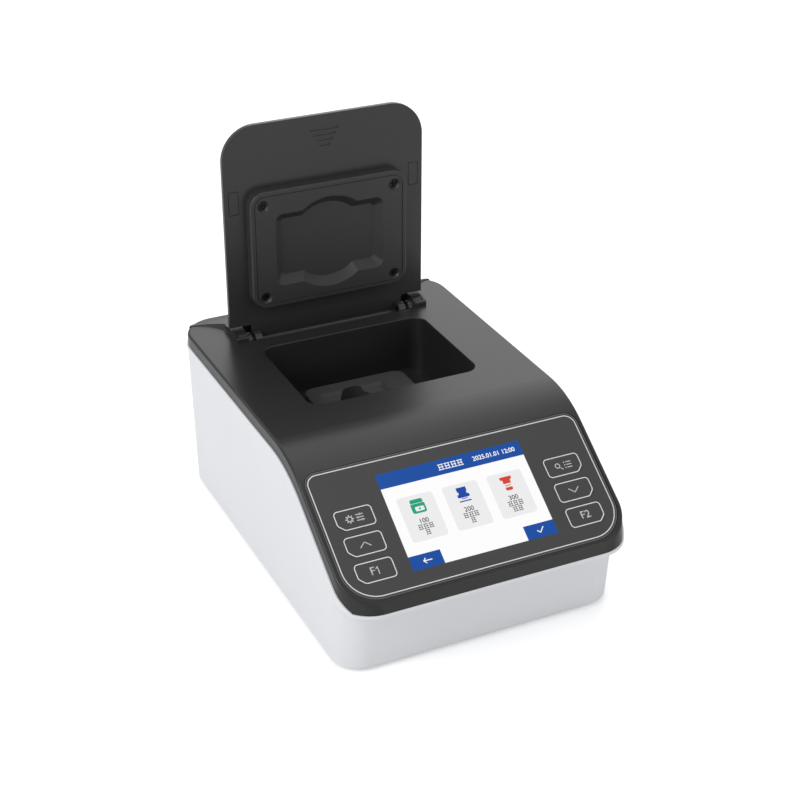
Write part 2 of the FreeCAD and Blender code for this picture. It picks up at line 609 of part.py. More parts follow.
def ear(side):
    """A hinge ear: a rounded knob behind a thin wall that goes round its front and its outer side."""
    sign = "-" if side < 0 else ""
    middle = "%s(ear_half_gap + ear_width / 2)" % sign
    block = shared([crest(), box(middle, "ear_front + (ear_reach + ear_length) / 2", "axis_z - ear_drop",
                                 "ear_width",
                                 "ear_reach + ear_length", "raised - axis_z + ear_drop")])
    inner = "ear_width - ear_wall"
    room_x = "%s(ear_half_gap + (%s) / 2)" % (sign, inner)
    room = box(room_x, "(ear_front + ear_wall + axis_y) / 2", "deck + ear_well", inner,
               "ear_reach - ear_wall", "raised - deck")
    knob_start = "ear_half_gap" if side > 0 else "-(ear_half_gap + %s - ear_groove)" % inner
    knob = rod("x", knob_start, "axis_y", "axis_z", "ear_radius - ear_groove", "%s - ear_groove" % inner)
    return joined([minus(block, [room]), knob])


def bay_mouth():
    """The opening over the bay: a seat for the liner below, and a thin lip with a soft edge above."""
    item = body("BayMouth")
    middle = "(bay_front + bay_back) / 2"
    grow = "2 * (liner_wall + mouth_fit)"
    pad(item, rectangle(sketch(item, "XY_Plane", "deck - 2 * wall"), ZERO, middle, "bay_width + " + grow,
                        "bay_length + " + grow, "bay_radius + liner_wall + mouth_fit"),
                        "2 * wall - mouth_lip")
    low = rectangle(sketch(item, "XY_Plane", "deck - mouth_edge"), ZERO, middle, "bay_width", "bay_length",
                    "bay_radius")
    pad(item, low, "mouth_lip", back=True)
    high = rectangle(sketch(item, "XY_Plane", "deck + mouth_edge"), ZERO, middle,
                     "bay_width + 4 * mouth_edge",
                     "bay_length + 4 * mouth_edge", "bay_radius + 2 * mouth_edge")
    loft(item, [low, high], ruled=True)
    return item


def make_cover():
    outer = shared([
        side_profile([("back", "rim"), ("back", "deck"), ("bend", "deck", "bend_radius"),
                      ("front - wall", "deck - (panel_run + wall) * rise"), ("front - wall", "rim_front"),
                      ("rim_toe", "rim_front"), ("rim_fold", "rim", "bend_radius + band_height")],
                      "case_width"),
        cover_plan()])
    doc.recompute()
    soft = doc.addObject("Part::Fillet", "SoftCover")
    soft.Base = outer
    soft.Edges = [(index + 1, value("edge_radius"), value("edge_radius"))
                  for index, edge in enumerate(outer.Shape.Edges) if is_top_edge(outer.Shape, edge)]
    inner = shared([
        side_profile([("back - cover_inset - wall", ZERO), ("back - cover_inset - wall", "deck - wall"),
                      ("wall_fold", "deck - wall", "bend_radius - wall"), ("toe_in", "toe_in_z"),
                      ("toe_in", ZERO)],
                     "case_width"),
        plan_block("cover_inset + wall", ZERO, "deck + overrun", "corner_radius - cover_inset")])
    extras = [minus(soft, [inner]), raised_deck()]
    extras.append(box(ZERO, "(trough_front + trough_back) / 2", "trough_floor - trough_wall",
                      "2 * (ear_half_gap + trough_wall)", "trough_back - trough_front + 2 * trough_wall",
                      "deck - trough_floor + trough_wall - wall / 2"))
    extras += [ear(-1), ear(1)]
    for x, y in BOSSES:
        extras.append(rod("z", x, y, "boss_joint + seat_gap", "boss_radius",
                          "deck - wall + boss_root - boss_joint - seat_gap"))
    for side in ("", "-"):
        extras.append(rod("z", side + "magnet_x", "magnet_y", "magnet_top - magnet_length", "magnet_boss",
                          "magnet_length + wall / 2"))
    posts = body("Posts")
    places = sketch(posts, "XY_Plane", "-wall / 2")
    for x, y in POSTS:
        circle(places, x, y, "post_radius")
    pad(posts, places, "-module_back - wall / 2", back=True)
    places = sketch(posts, "XY_Plane", "-wall / 2")
    for x, y in KEY_POSTS:
        circle(places, x, y, "post_radius")
    pad(posts, places, "-key_board_top - wall / 2", back=True)
    extras.append(on_panel(posts))
    holes = [bay_mouth(), panel_tool(),
             box(ZERO, "(trough_front + trough_back) / 2", "trough_floor", "2 * ear_half_gap",
                 "trough_back - trough_front", "overrun + trough_depth"),
             side_profile([("trough_front - 2 * mouth_edge", "deck + mouth_edge"),
                           ("trough_front", "deck - mouth_edge"),
                           ("trough_front + mouth_edge", "deck + mouth_edge")], "2 * tongue_half")]
    holes.append(rod("x", "-(ear_half_gap + pin_depth)", "axis_y", "axis_z", "pin_radius + pin_fit / 2",
                     "2 * (ear_half_gap + pin_depth)"))
    for x, y in BOSSES:
        holes.append(rod("z", x, y, "boss_joint - wall", "screw_radius + screw_fit",
                         "screw_bite + wall + seat_gap"))
    for side in ("", "-"):
        holes.append(rod("z", side + "magnet_x", "magnet_y", "magnet_top - magnet_length - wall",
                         "magnet_radius + screw_fit", "magnet_length + wall"))
    pilots = body("PostPilots")
    places = sketch(pilots, "XY_Plane", "module_back - wall / 2")
    for x, y in POSTS:
        circle(places, x, y, "tiny_screw + screw_fit")
    pad(pilots, places, "tiny_bite + wall / 2 + seat_gap")
    places = sketch(pilots, "XY_Plane", "key_board_top - wall / 2")
    for x, y in KEY_POSTS:
        circle(places, x, y, "tiny_screw + screw_fit")
    pad(pilots, places, "tiny_bite + wall / 2 + seat_gap")
    holes.append(on_panel(pilots))
    node(minus(joined(extras), holes), "top_cover")


def is_top_edge(shape, edge):
    """True for an edge where the top surface meets an upright side."""
    faces = shape.ancestorsOfType(edge, Part.Face)
    if len(faces) != 2:
        return False
    place = edge.valueAt((edge.FirstParameter + edge.LastParameter) / 2)
    tilts = []
    for face in faces:
        u, v = face.Surface.parameter(place)
        tilts.append(face.normalAt(u, v).z)
    return max(tilts) > 0.7 and -0.1 < min(tilts) < 0.6


def make_bay():
    liner = body("Liner")
    low = "bay_floor - liner_wall"
    pad(liner, rectangle(sketch(liner, "XY_Plane", low), ZERO, "(bay_front + bay_back) / 2",
                         "bay_width + 2 * liner_wall", "bay_length + 2 * liner_wall",
                         "bay_radius + liner_wall"),
        "deck - mouth_lip - (%s)" % low)
    pocket(liner, rectangle(sketch(liner, "XY_Plane", "deck"), ZERO, "(bay_front + bay_back) / 2",
                            "bay_width", "bay_length", "bay_radius"), "bay_depth")
    hole = rod("z", "port_offset", "port_y", "bay_floor - overrun", "sleeve_radius + sleeve_gap",
               "2 * overrun")
    node(minus(liner, [hole]), "measuring_bay")


def make_adapter():
    adapter = body("Adapter")
    pad(adapter, rectangle(sketch(adapter, "XY_Plane", "bay_floor"), ZERO, "port_y", "adapter_width",
                           "adapter_length", "adapter_radius"), "adapter_rise")
    round_edges(adapter, "adapter_edge", lambda edge: abs(edge.BoundBox.ZMin - value("adapter_top")) < 0.01)
    pad(adapter, circle(sketch(adapter, "XY_Plane", "sleeve_low"), "port_offset", "port_y", "sleeve_radius"),
        "bay_floor - sleeve_low")
    top = rectangle(sketch(adapter, "XY_Plane", "adapter_top"), "port_offset", "port_y", "slot_width",
                    "slot_length")
    low = rectangle(sketch(adapter, "XY_Plane", "adapter_top - slot_depth"), "port_offset", "port_y",
                    "slot_width - slot_lead", "slot_length - 2 * slot_lead")
    loft(adapter, [top, low], cut=True, ruled=True)
    pocket(adapter, circle(sketch(adapter, "XY_Plane", "adapter_top"), "port_offset", "port_y",
                           "tube_radius"),
           "sleeve_depth - tube_floor")
    window = rod("x", "port_offset - sleeve_radius - wall", "port_y", "beam_height", "beam_radius",
                 "2 * (sleeve_radius + wall)")
    node(minus(adapter, [window]), "tube_adapter")


def make_optics():
    block = box("port_offset", "port_y", "floor_top + block_base", "block_width", "block_length",
                "block_top - floor_top - block_base")
    holes = [rod("z", "port_offset", "port_y", "sleeve_low - seat_gap", "sleeve_radius + sleeve_gap", "deck"),
             rod("x", "port_offset - block_width", "port_y", "beam_height", "beam_radius", "2 * block_width")]
    for start in ("port_offset - block_width / 2 - overrun",
                  "port_offset + block_width / 2 - lens_length - lamp_length"):
        holes.append(rod("x", start, "port_y", "beam_height", "lens_radius + lens_fit",
                         "overrun + lens_length + lamp_length"))
    node(minus(block, holes), "optical_block")
    left, right = "port_offset - block_width / 2", "port_offset + block_width / 2"
    node(rod("x", left + " + lamp_length", "port_y", "beam_height", "lens_radius", "lens_length"),
         "lamp_lens")
    node(rod("x", right + " - lens_length - lamp_length", "port_y", "beam_height", "lens_radius",
             "lens_length"),
         "detector_lens")
    node(rod("x", left, "port_y", "beam_height", "lamp_radius", "lamp_length - seat_gap"), "lamp")
    node(rod("x", right + " - sensor_length", "port_y", "beam_height", "sensor_radius", "sensor_length"),
         "photodiode")
    for label, x in (("lamp_board", left + " - board_thickness / 2"),
                     ("detector_board", right + " + board_thickness / 2")):
        node(box(x, "port_y", "beam_height - optic_board / 2", "board_thickness", "optic_board",
                 "optic_board"), label)


def make_lid():
    shell = body("LidShell")
    plate = outline(sketch(shell, "XZ_Plane", "-lid_rear"), [
        ("-lid_width / 2", "lid_low"), ("-tongue_half", "lid_low"), ("-tongue_half", "axis_z"),
        ("tongue_half", "axis_z"),
        ("tongue_half", "lid_low"), ("lid_width / 2", "lid_low"), ("lid_width / 2", "lid_top", "lid_radius"),
        ("-lid_width / 2", "lid_top", "lid_radius")])
    pad(shell, plate, "lid_thickness")
    round_edges(shell, "lid_edge", lambda edge: abs(edge.BoundBox.YMin - value("lid_rear")) < 0.01
                and edge.CenterOfMass.z > value("lid_low") + 1)
    face = sketch(shell, "XZ_Plane", "-lid_face")
    for side in ("", "-"):
        rectangle(face, side + "patch_x", "patch_z", "patch_width", "patch_length")
    pocket(shell, face, "patch_depth")
    face = sketch(shell, "XZ_Plane", "-lid_face")
    for side in ("", "-"):
        circle(face, side + "patch_x", "patch_z", "magnet_radius + magnet_fit")
    pocket(shell, face, "patch_depth + magnet_length")
    marks = sketch(shell, "XZ_Plane", "-lid_face")
    for step in range(MARK_COUNT):
        rectangle(marks, ZERO, "axis_z + mark_top - %d * mark_pitch" % step,
                  "2 * (mark_half - %d * mark_step)" % step, "mark_height", "mark_round")
    pocket(shell, marks, "mark_depth")
    places = sketch(shell, "XZ_Plane", "-lid_face")
    for x, z in PAD_SCREWS:
        circle(places, x, z, "small_screw + screw_fit")
    pocket(shell, places, "lid_thickness - patch_depth")
    curl = minus(rod("x", "-tongue_half", "axis_y", "axis_z", "lid_rear - axis_y", "2 * tongue_half"), [
        rod("x", "-tongue_half - wall", "axis_y", "axis_z", "knuckle_inner", "2 * (tongue_half + wall)"),
        box(ZERO, "axis_y", "axis_z", "lid_width", "lid_width", "lid_width"),
        box(ZERO, "axis_y - lid_width / 2", "axis_z - lid_width", "lid_width", "lid_width", "2 * lid_width")])
    lugs = [rod("x", start, "axis_y", "axis_z", "lug_radius", "lug_length")
            for start in ("-tongue_half", "tongue_half - lug_length")]
    holes = [rod("x", "-tongue_half - wall", "axis_y", "axis_z", "pin_radius + pin_fit",
                 "pin_depth + wall + seat_gap"),
             rod("x", "tongue_half - pin_depth - seat_gap", "axis_y", "axis_z", "pin_radius + pin_fit",
                 "pin_depth + wall + seat_gap")]
    node(minus(joined([shell, curl] + lugs), holes), "lid_shell")

    covers = body("PatchCovers")
    plates = sketch(covers, "XZ_Plane", "-(lid_face + patch_depth)")
    for side in ("", "-"):
        rectangle(plates, side + "patch_x", "patch_z", "patch_width - 2 * patch_gap",
                  "patch_length - 2 * patch_gap")
    pad(covers, plates, "patch_depth")
    node(covers, "lid_magnet_covers")
    node(group([rod("y", side + "patch_x", "lid_face + patch_depth", "patch_z", "magnet_radius",
                    "magnet_length")
                for side in ("", "-")]), "lid_magnets")
    node(group([rod("z", side + "magnet_x", "magnet_y", "magnet_top - magnet_length", "magnet_radius",
                    "magnet_length") for side in ("", "-")]), "cover_magnets")


def make_pad():
    plate = body("LidPad")
    pad(plate, rectangle(sketch(plate, "XZ_Plane", "-lid_face"), ZERO, "pad_z", "pad_width", "pad_length",
                         "pad_radius"), "pad_thickness")
    round_edges(plate, "pad_chamfer", lambda edge: abs(edge.BoundBox.YMax - value("pad_face")) < 0.01
                and edge.BoundBox.YLength < 0.01)
    line = sketch(plate, "XZ_Plane", "-pad_face")
    for inset in ("pad_border", "pad_border + line_width"):
        rectangle(line, ZERO, "pad_z", "pad_width - 2 * (%s)" % inset, "pad_length - 2 * (%s)" % inset,
                  "pad_radius - (%s)" % inset)
    pocket(plate, line, "line_depth")
    mouth = rectangle(sketch(plate, "XZ_Plane", "-pad_face"), ZERO, "relief_z", "relief_width",
                      "relief_length",
                      "relief_radius")
    floor = rectangle(sketch(plate, "XZ_Plane", "-(pad_face + relief_depth)"), ZERO, "relief_z",
                      "relief_width - 2 * relief_slope", "relief_length - 2 * relief_slope",
                      "relief_radius / 2")
    loft(plate, [mouth, floor], cut=True, ruled=True)
    mouth = circle(sketch(plate, "XZ_Plane", "-pad_face"), ZERO, "relief_z", "relief_round")
    floor = circle(sketch(plate, "XZ_Plane", "-(pad_face + relief_depth)"), ZERO, "relief_z",
                   "relief_round - relief_slope")
    loft(plate, [mouth, floor], cut=True, ruled=True)
    places = sketch(plate, "XZ_Plane", "-pad_face")
    for x, z in PAD_SCREWS:
        circle(places, x, z, "sink_bore")
    pocket(plate, places, "sink_depth")
    places = sketch(plate, "XZ_Plane", "-pad_face")
    for x, z in PAD_SCREWS:
        circle(places, x, z, "small_screw + screw_fit")
    pocket(plate, places, "pad_thickness")
    node(minus(plate, [dish(x, "pad_face", z, "sink_radius", "sink_bore", "sink_dish") for x,
                       z in PAD_SCREWS]), "lid_pad")
    screws = []
    for x, z in PAD_SCREWS:
        whole = screw("y", x, "pad_face + sink_depth - small_head_height", z, "small_screw", "pad_head",
                      "small_head_height",
                      "pad_thickness - sink_depth + lid_thickness - patch_depth - seat_gap")
        recesses = [box(x, "pad_face + sink_depth - small_head_height", "(%s) - drive_width / 2" % z,
                        "drive_length",
                        "2 * drive_depth", "drive_width"),
                    box(x, "pad_face + sink_depth - small_head_height", "(%s) - drive_length / 2" % z,
                        "drive_width",
                        "2 * drive_depth", "drive_length")]
        screws.append(minus(whole, recesses))
    node(group(screws), "lid_pad_screws")


def make_hinge():
    length = "pin_depth + ear_half_gap - tongue_half + pin_depth"
    node(group([rod("x", "tongue_half - pin_depth", "axis_y", "axis_z", "pin_radius", length),
                rod("x", "-(ear_half_gap + pin_depth)", "axis_y", "axis_z", "pin_radius", length)]),
                "hinge_pins")
    collars = []
    for start in ("ear_half_gap - collar_length", "-ear_half_gap"):
        ring = rod("x", start, "axis_y", "axis_z", "collar_radius", "collar_length")
        bore = rod("x", start + " - wall", "axis_y", "axis_z", "pin_radius + pin_fit / 2",
                   "collar_length + 2 * wall")
        collars.append(minus(ring, [bore]))
    node(group(collars), "hinge_collars")


def key_outline(item, x, y, grow):
    """Key shape: a rounded rectangle whose lower outer corner is cut rounder."""
    half_x = "key_width / 2 + (%s)" % grow
    half_y = "key_height / 2 + (%s)" % grow
    outer = "-" if x.startswith("-") else ""
    corners = []
    for side, end in (("-", "-"), ("", "-"), ("", ""), ("-", "")):
        radius = "key_cut_radius" if end == "-" and side == outer else "key_radius"
        corners.append(("(%s) + %s(%s)" % (x, side, half_x), "(%s) + %s(%s)" % (y, end, half_y),
                        "%s + (%s)" % (radius, grow)))
    return outline(item, corners)


def make_panel():
    overlay = body("Overlay")
    pad(overlay, overlay_outline(sketch(overlay, "XY_Plane", "overlay_back"), "overlay_margin - overlay_fit"),
        "overlay_thickness")
    opening = sketch(overlay, "XY_Plane", "-overlay_sink")
    rectangle(opening, ZERO, "screen_y", "screen_width + 2 * window_fit", "screen_height + 2 * window_fit")
    for label, x, y in KEYS:
        key_outline(opening, x, y, "key_gap")
    pocket(overlay, opening, "overlay_thickness")
    node(on_panel(overlay), "panel_overlay")

    window = body("Window")
    pad(window, rectangle(sketch(window, "XY_Plane", "overlay_back"), ZERO, "screen_y", "screen_width",
                          "screen_height"), "overlay_thickness")
    node(on_panel(window), "display_window")
    module = body("Module")
    pad(module, rectangle(sketch(module, "XY_Plane", "overlay_back"), ZERO, "screen_y", "module_width",
                          "module_height"), "module_thickness", back=True)
    node(on_panel(module), "display_module")
    bracket = body("Bracket")
    plate = rectangle(sketch(bracket, "XY_Plane", "module_back"), ZERO, "screen_y", "2 * bracket_half",
                      "bracket_height", "bracket_radius")
    pad(bracket, plate, "bracket_thickness", back=True)
    window = rectangle(sketch(bracket, "XY_Plane", "module_back"), ZERO, "screen_y",
                       "screen_width - 2 * bracket_frame",
                       "bracket_height - 2 * bracket_frame", "bracket_window_radius")
    pocket(bracket, window, "bracket_thickness")
    places = sketch(bracket, "XY_Plane", "module_back")
    for x, y in POSTS:
        circle(places, x, y, "tiny_screw + screw_clear")
    pocket(bracket, places, "bracket_thickness")
    node(on_panel(bracket), "display_bracket")
    screws = body("BracketScrews")
    heads = sketch(screws, "XY_Plane", "module_back - bracket_thickness")
    for x, y in POSTS:
        circle(heads, x, y, "tiny_head")
    pad(screws, heads, "tiny_head_height", back=True)
    shanks = sketch(screws, "XY_Plane", "module_back - bracket_thickness")
    for x, y in POSTS:
        circle(shanks, x, y, "tiny_screw")
    pad(screws, shanks, "bracket_thickness + tiny_bite")
    node(on_panel(screws), "bracket_screws")

    for label, x, y in KEYS:
        key = body("Key")
        pad(key, key_outline(sketch(key, "XY_Plane", "-overlay_sink"), x, y, ZERO),
            "overlay_thickness + flange_gap + flange_thickness", back=True)
        pad(key, key_outline(sketch(key, "XY_Plane", "flange_top"), x, y, "key_flange"), "flange_thickness",
            back=True)
        node(on_panel(key), label)

    boards = body("KeyBoards")
    plates = sketch(boards, "XY_Plane", "key_board_top")
    for side in ("", "-"):
        rectangle(plates, side + "key_x", "key_mid_y", "key_width", "3 * key_pitch + 2 * key_board_margin")
    pad(boards, plates, "board_thickness", back=True)
    places = sketch(boards, "XY_Plane", "key_board_top")
    for x, y in KEY_POSTS:
        circle(places, x, y, "tiny_screw + screw_clear")
    pocket(boards, places, "board_thickness")
    node(on_panel(boards), "keypad_boards")
    domes = body("Domes")
    places = sketch(domes, "XY_Plane", "key_board_top")
    for label, x, y in KEYS:
        circle(places, x, y, "dome_radius")
    rise = pad(domes, places, "dome_height")
    bind(rise, "TaperAngle", "-dome_taper")
    node(on_panel(domes), "dome_switches")
    screws = body("KeyboardScrews")
    heads = sketch(screws, "XY_Plane", "key_board_top - board_thickness")
    for x, y in KEY_POSTS:
        circle(heads, x, y, "tiny_head")
    pad(screws, heads, "tiny_head_height", back=True)
    shanks = sketch(screws, "XY_Plane", "key_board_top - board_thickness")
    for x, y in KEY_POSTS:
        circle(shanks, x, y, "tiny_screw")
    pad(screws, shanks, "board_thickness + tiny_bite")
    node(on_panel(screws), "keypad_screws")


def make_boards():
    board = body("MainBoard")
    pad(board, rectangle(sketch(board, "XY_Plane", "board_top - board_thickness"), ZERO, "board_mid",
                         "board_width", "board_length", "board_radius"), "board_thickness")
    places = sketch(board, "XY_Plane", "board_top")
    for x, y in BOARD_HOLES:
        circle(places, x, y, "small_screw + screw_clear")
    pocket(board, places, "board_thickness")
    node(board, "main_board")
    screws = []
    for x, y in BOARD_HOLES:
        head = minus(rod("z", x, y, "board_top", "small_head", "small_head_height"), [
            box(x, y, "board_top + small_head_height - drive_depth", "drive_length", "drive_width", "wall"),
            box(x, y, "board_top + small_head_height - drive_depth", "drive_width", "drive_length", "wall")])
        shank = rod("z", x, y, "floor_top + seat_gap", "small_screw", "board_top - floor_top - seat_gap")
        screws.append(joined([head, shank]))
    node(group(screws), "board_screws")
    parts = [("-chip_offset", "board_mid", "chip_size", "chip_size", "chip_height"),
             ("chip_offset / 2", "board_mid + chip_size", "small_chip_width", "small_chip_length",
              "chip_height"),
             ("chip_offset", "board_mid", "connector_width", "connector_length", "connector_height"),
             (ZERO, "board_front + chip_size", "strip_width", "strip_length", "strip_height")]
    node(group([box(x, y, "board_top", wide, deep, high) for x, y, wide, deep, high in parts]),
         "board_components")


def make_fasteners():
    screws = []
    for x, y in BOSSES:
        length = "boss_joint + seat_gap + screw_bite - foot_height - head_height - wall"
        screws.append(screw("z", x, y, "foot_height + head_room", "screw_radius", "head_radius",
                            "head_height", length))
    node(group(screws), "case_screws")
    node(group([rod("z", x, y, ZERO, "foot_radius", "foot_height + foot_sink") for x, y in FEET]),
         "rubber_feet")


def make_connectors():
    bezel = body("Bezel")
    flange = rectangle(sketch(bezel, "XZ_Plane", "-recess_floor"), "rocker_x", "socket_z", "bezel_width",
                       "bezel_height",
                       "bezel_radius")
    pad(bezel, flange, "bezel_thickness", back=True)
    trunk = rectangle(sketch(bezel, "XZ_Plane", "-recess_floor"), "rocker_x", "socket_z",
                      "bezel_width - 2 * bezel_wall - 2 * screw_fit",
                      "bezel_height - 2 * bezel_wall - 2 * screw_fit")
    pad(bezel, trunk, "bezel_depth")
    well = rectangle(sketch(bezel, "XZ_Plane", "-bezel_face"), "rocker_x", "socket_z",
                     "2 * (rocker_half + rocker_room)",
                     "2 * (rocker_half_height + rocker_side_room)")
    pocket(bezel, well, "bezel_thickness + bezel_depth - bezel_wall", back=True)
    pivot = rod("z", "rocker_x", "pivot_y", "socket_z - rocker_half_height - rocker_pin_length - seat_gap",
                "rocker_pin + pin_fit", "2 * (rocker_half_height + rocker_pin_length + seat_gap)")
    node(minus(bezel, [pivot]), "power_switch_bezel")

    rocker = body("Rocker")
    shape = outline(sketch(rocker, "XY_Plane", "-rocker_half_height"), [
        ("-rocker_half", ZERO), ("-rocker_root", "-rocker_root_depth"), ("rocker_root", "-rocker_root_depth"),
        ("rocker_half", ZERO), ("rocker_half", "rocker_tip"), (ZERO, "rocker_tip - rocker_dip"),
        ("-rocker_half", "rocker_tip")])
    pad(rocker, shape, "2 * rocker_half_height")
    pad(rocker, circle(sketch(rocker, "XY_Plane"), ZERO, ZERO, "rocker_pin"),
        "2 * (rocker_half_height + rocker_pin_length)", both=True)
    rocker.Placement = FreeCAD.Placement(
        FreeCAD.Vector(), FreeCAD.Rotation(FreeCAD.Vector(0, 0, 1), -value("rocker_tilt")))
    bind(rocker, "Placement.Base.x", "rocker_x")
    bind(rocker, "Placement.Base.y", "pivot_y")
    bind(rocker, "Placement.Base.z", "socket_z")
    node(rocker, "power_rocker")

    barrel = joined([rod("y", "jack_x", "recess_floor", "socket_z", "jack_flange", "jack_flange_thickness"),
                     rod("y", "jack_x", "recess_floor - jack_length", "socket_z", "jack_radius",
                         "jack_length")])
    bore = rod("y", "jack_x", "recess_floor + jack_flange_thickness - jack_bore_depth", "socket_z",
               "jack_bore",
               "overrun")
    node(minus(barrel, [bore]), "power_socket")
    node(rod("y", "jack_x", "recess_floor + jack_flange_thickness - jack_bore_depth", "socket_z", "jack_pin",
             "jack_bore_depth - usb_proud"), "power_socket_pin")

    shell = box("usb_x", "recess_floor + usb_proud - usb_length / 2", "socket_z - usb_height / 2",
                "usb_width",
                "usb_length", "usb_height")
    hollow = box("usb_x", "recess_floor + usb_proud", "socket_z - usb_height / 2 + usb_skin",
                 "usb_width - 2 * usb_skin", "2 * usb_bore_depth", "usb_height - 2 * usb_skin")
    node(minus(shell, [hollow]), "data_port")
    node(box("usb_x", "recess_floor + usb_proud - usb_bore_depth + (usb_bore_depth - usb_proud) / 2",
             "socket_z - usb_tongue / 2", "usb_width - 2 * (usb_skin + usb_tongue_inset)",
             "usb_bore_depth - usb_proud",
             "usb_tongue"), "data_port_tongue")


make_housing()
make_cover()
make_bay()
make_adapter()
make_optics()
make_lid()
make_pad()
make_hinge()
make_panel()
make_boards()
make_fasteners()
make_connectors()
doc.recompute()

faults = [item.Name for item in doc.Objects if "Invalid" in item.State or "Error" in item.State]
for item in nodes:
    if item.Shape.isNull() or not item.Shape.isValid():
        faults.append(item.Label)
if faults:
    raise SystemExit("failed: " + ", ".join(faults))

os.makedirs("parts", exist_ok=True)
for item in nodes:
    item.Shape.exportStep("parts/%s.step" % item.Label)
    print(item.Label, len(item.Shape.Solids), round(item.Shape.Volume, 1))
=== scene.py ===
import math

import bpy
from bpy.props import FloatProperty, FloatVectorProperty, PointerProperty, StringProperty
from bpy.types import Operator, Panel, PropertyGroup
from mathutils import Matrix, Vector


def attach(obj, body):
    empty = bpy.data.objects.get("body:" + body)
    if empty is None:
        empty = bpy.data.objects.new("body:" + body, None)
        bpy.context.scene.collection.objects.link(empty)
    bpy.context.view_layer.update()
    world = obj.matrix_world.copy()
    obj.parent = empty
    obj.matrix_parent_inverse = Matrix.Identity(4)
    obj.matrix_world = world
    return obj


bl_info = {
    "name": "Bench photometer dressing",
    "version": (1, 0, 0),
    "blender": (4, 5, 0),
    "location": "3D View > Sidebar > Photometer",
    "description": "Finishes, panel graphics, screen page and stage for the bench photometer",
    "category": "Object",
}

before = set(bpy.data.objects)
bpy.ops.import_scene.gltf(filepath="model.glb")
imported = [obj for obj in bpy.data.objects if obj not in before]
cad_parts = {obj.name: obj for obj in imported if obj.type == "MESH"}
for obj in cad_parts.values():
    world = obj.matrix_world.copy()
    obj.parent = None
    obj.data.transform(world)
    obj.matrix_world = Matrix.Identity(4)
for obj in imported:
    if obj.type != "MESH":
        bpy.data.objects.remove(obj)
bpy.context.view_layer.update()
MM = 0.001

# Soft boxes of the stage: name, place in metres, side in metres and power in watts
SOFT_BOXES = (
    ("left_box", (-1.2, -0.35, 1.0), 1.0, 10.6),
    ("top_box", (0.18, 0.5, 1.6), 1.5, 6.8),
    ("right_box", (0.9, -1.3, 0.7), 0.9, 2.7),
    ("back_box", (0.85, 1.3, 0.85), 1.3, 6.0),
)
# Point in metres that the soft boxes face
LAMP_AIM = (0.0, 0.0, 0.06)
# Camera's sensor in millimetres, and the nearest and farthest distance that it sees in metres
SENSOR_MM, NEAREST, FARTHEST = 36.0, 0.01, 50.0

# Two points are the same below this distance in metres
SAME_POINT = 1e-6
# Radius of a stroke's end as a share of its width, just under half so that no edge has zero length
STROKE_END = 0.49
# Thickening of a letter as a share of its size
LETTER_WEIGHT = 0.012

# Signs on the screen in millimetres. A plate is across, up, width, height and radii from the lower left
# corner on.
SQUARE = (0.0, 0.0, 0.0, 0.0)
JAR_PLATES = (
    (-0.1, 2.4, 6.3, 2.0, (0.2, 0.2, 0.9, 0.9)),
    (0.0, -1.2, 7.0, 4.8, (1.2, 1.2, 0.5, 0.5)),
)
PANE_PLATES = ((0.4, -1.5, 4.4, 2.2, (0.5, 0.5, 0.5, 0.5)),)
CAP_PLATES = (
    (0.0, 2.5, 4.9, 2.2, SQUARE),
    (0.0, 0.7, 4.0, 2.0, SQUARE),
    (0.0, -0.7, 6.0, 1.7, (0.5, 0.5, 0.5, 0.5)),
    (0.0, -2.1, 3.0, 0.4, SQUARE),
    (0.0, -3.4, 6.0, 0.6, SQUARE),
)
TUBE_PLATES = (
    (0.0, 2.5, 6.0, 1.6, (0.7, 0.7, 0.3, 0.3)),
    (0.0, 0.9, 3.9, 2.2, SQUARE),
    (0.0, -1.2, 3.0, 0.4, SQUARE),
    (0.0, -2.9, 3.6, 1.6, (0.8, 0.8, 0.0, 0.0)),
)
# The dot on the jar: across, up and radius
JAR_DOT = (0.4, -1.5, 0.5)
# A stroke is across, up, run, and turn in degrees.
ARROW_STROKES = ((0.63, 0.0, 4.4, 0.0), (-0.9, 0.6, 2.0, 45.0), (-0.9, -0.6, 2.0, -45.0))
TICK_STROKES = ((-1.2, -0.5, 2.0, -45.0), (0.6, 0.1, 3.6, 48.0))

# Marks in place of words, in shares of their size: lines as height and length, places of the uprights and
# their height. Then the pitch of the marks, and the lines' width in shares of the uprights'.
GLYPH_LINES, GLYPH_UPRIGHTS, GLYPH_TALL = ((-0.42, 0.95), (0.0, 0.8), (0.42, 0.9)), (-0.26, 0.26), 0.85
GLYPH_PITCH, GLYPH_LINE_WIDTH = 1.06, 1.2
# Header: count of its marks, and its date. Cards: number, and count of marks in each row under it.
HEADER_MARKS, HEADER_DATE = 4, "2025.01.01 12:00"
CARD_TEXTS = (("100", (3, 1)), ("200", (3, 1)), ("300", (3, 2)))
# Drops from a card's middle to its number and its rows of marks, and the marks' size and stroke
NUMBER_DROP, MARK_DROPS, MARK_SIZE, MARK_STROKE = 1.9 * MM, (4.7 * MM, 7.6 * MM), 2.5 * MM, 0.27 * MM


# Sizes and colours that a user would change

def length(name, description, default):
    return FloatProperty(name=name, description=description, default=default, unit="LENGTH", precision=5)


def shade(name, description, default):
    return StringProperty(name=name, description=description, default=default)


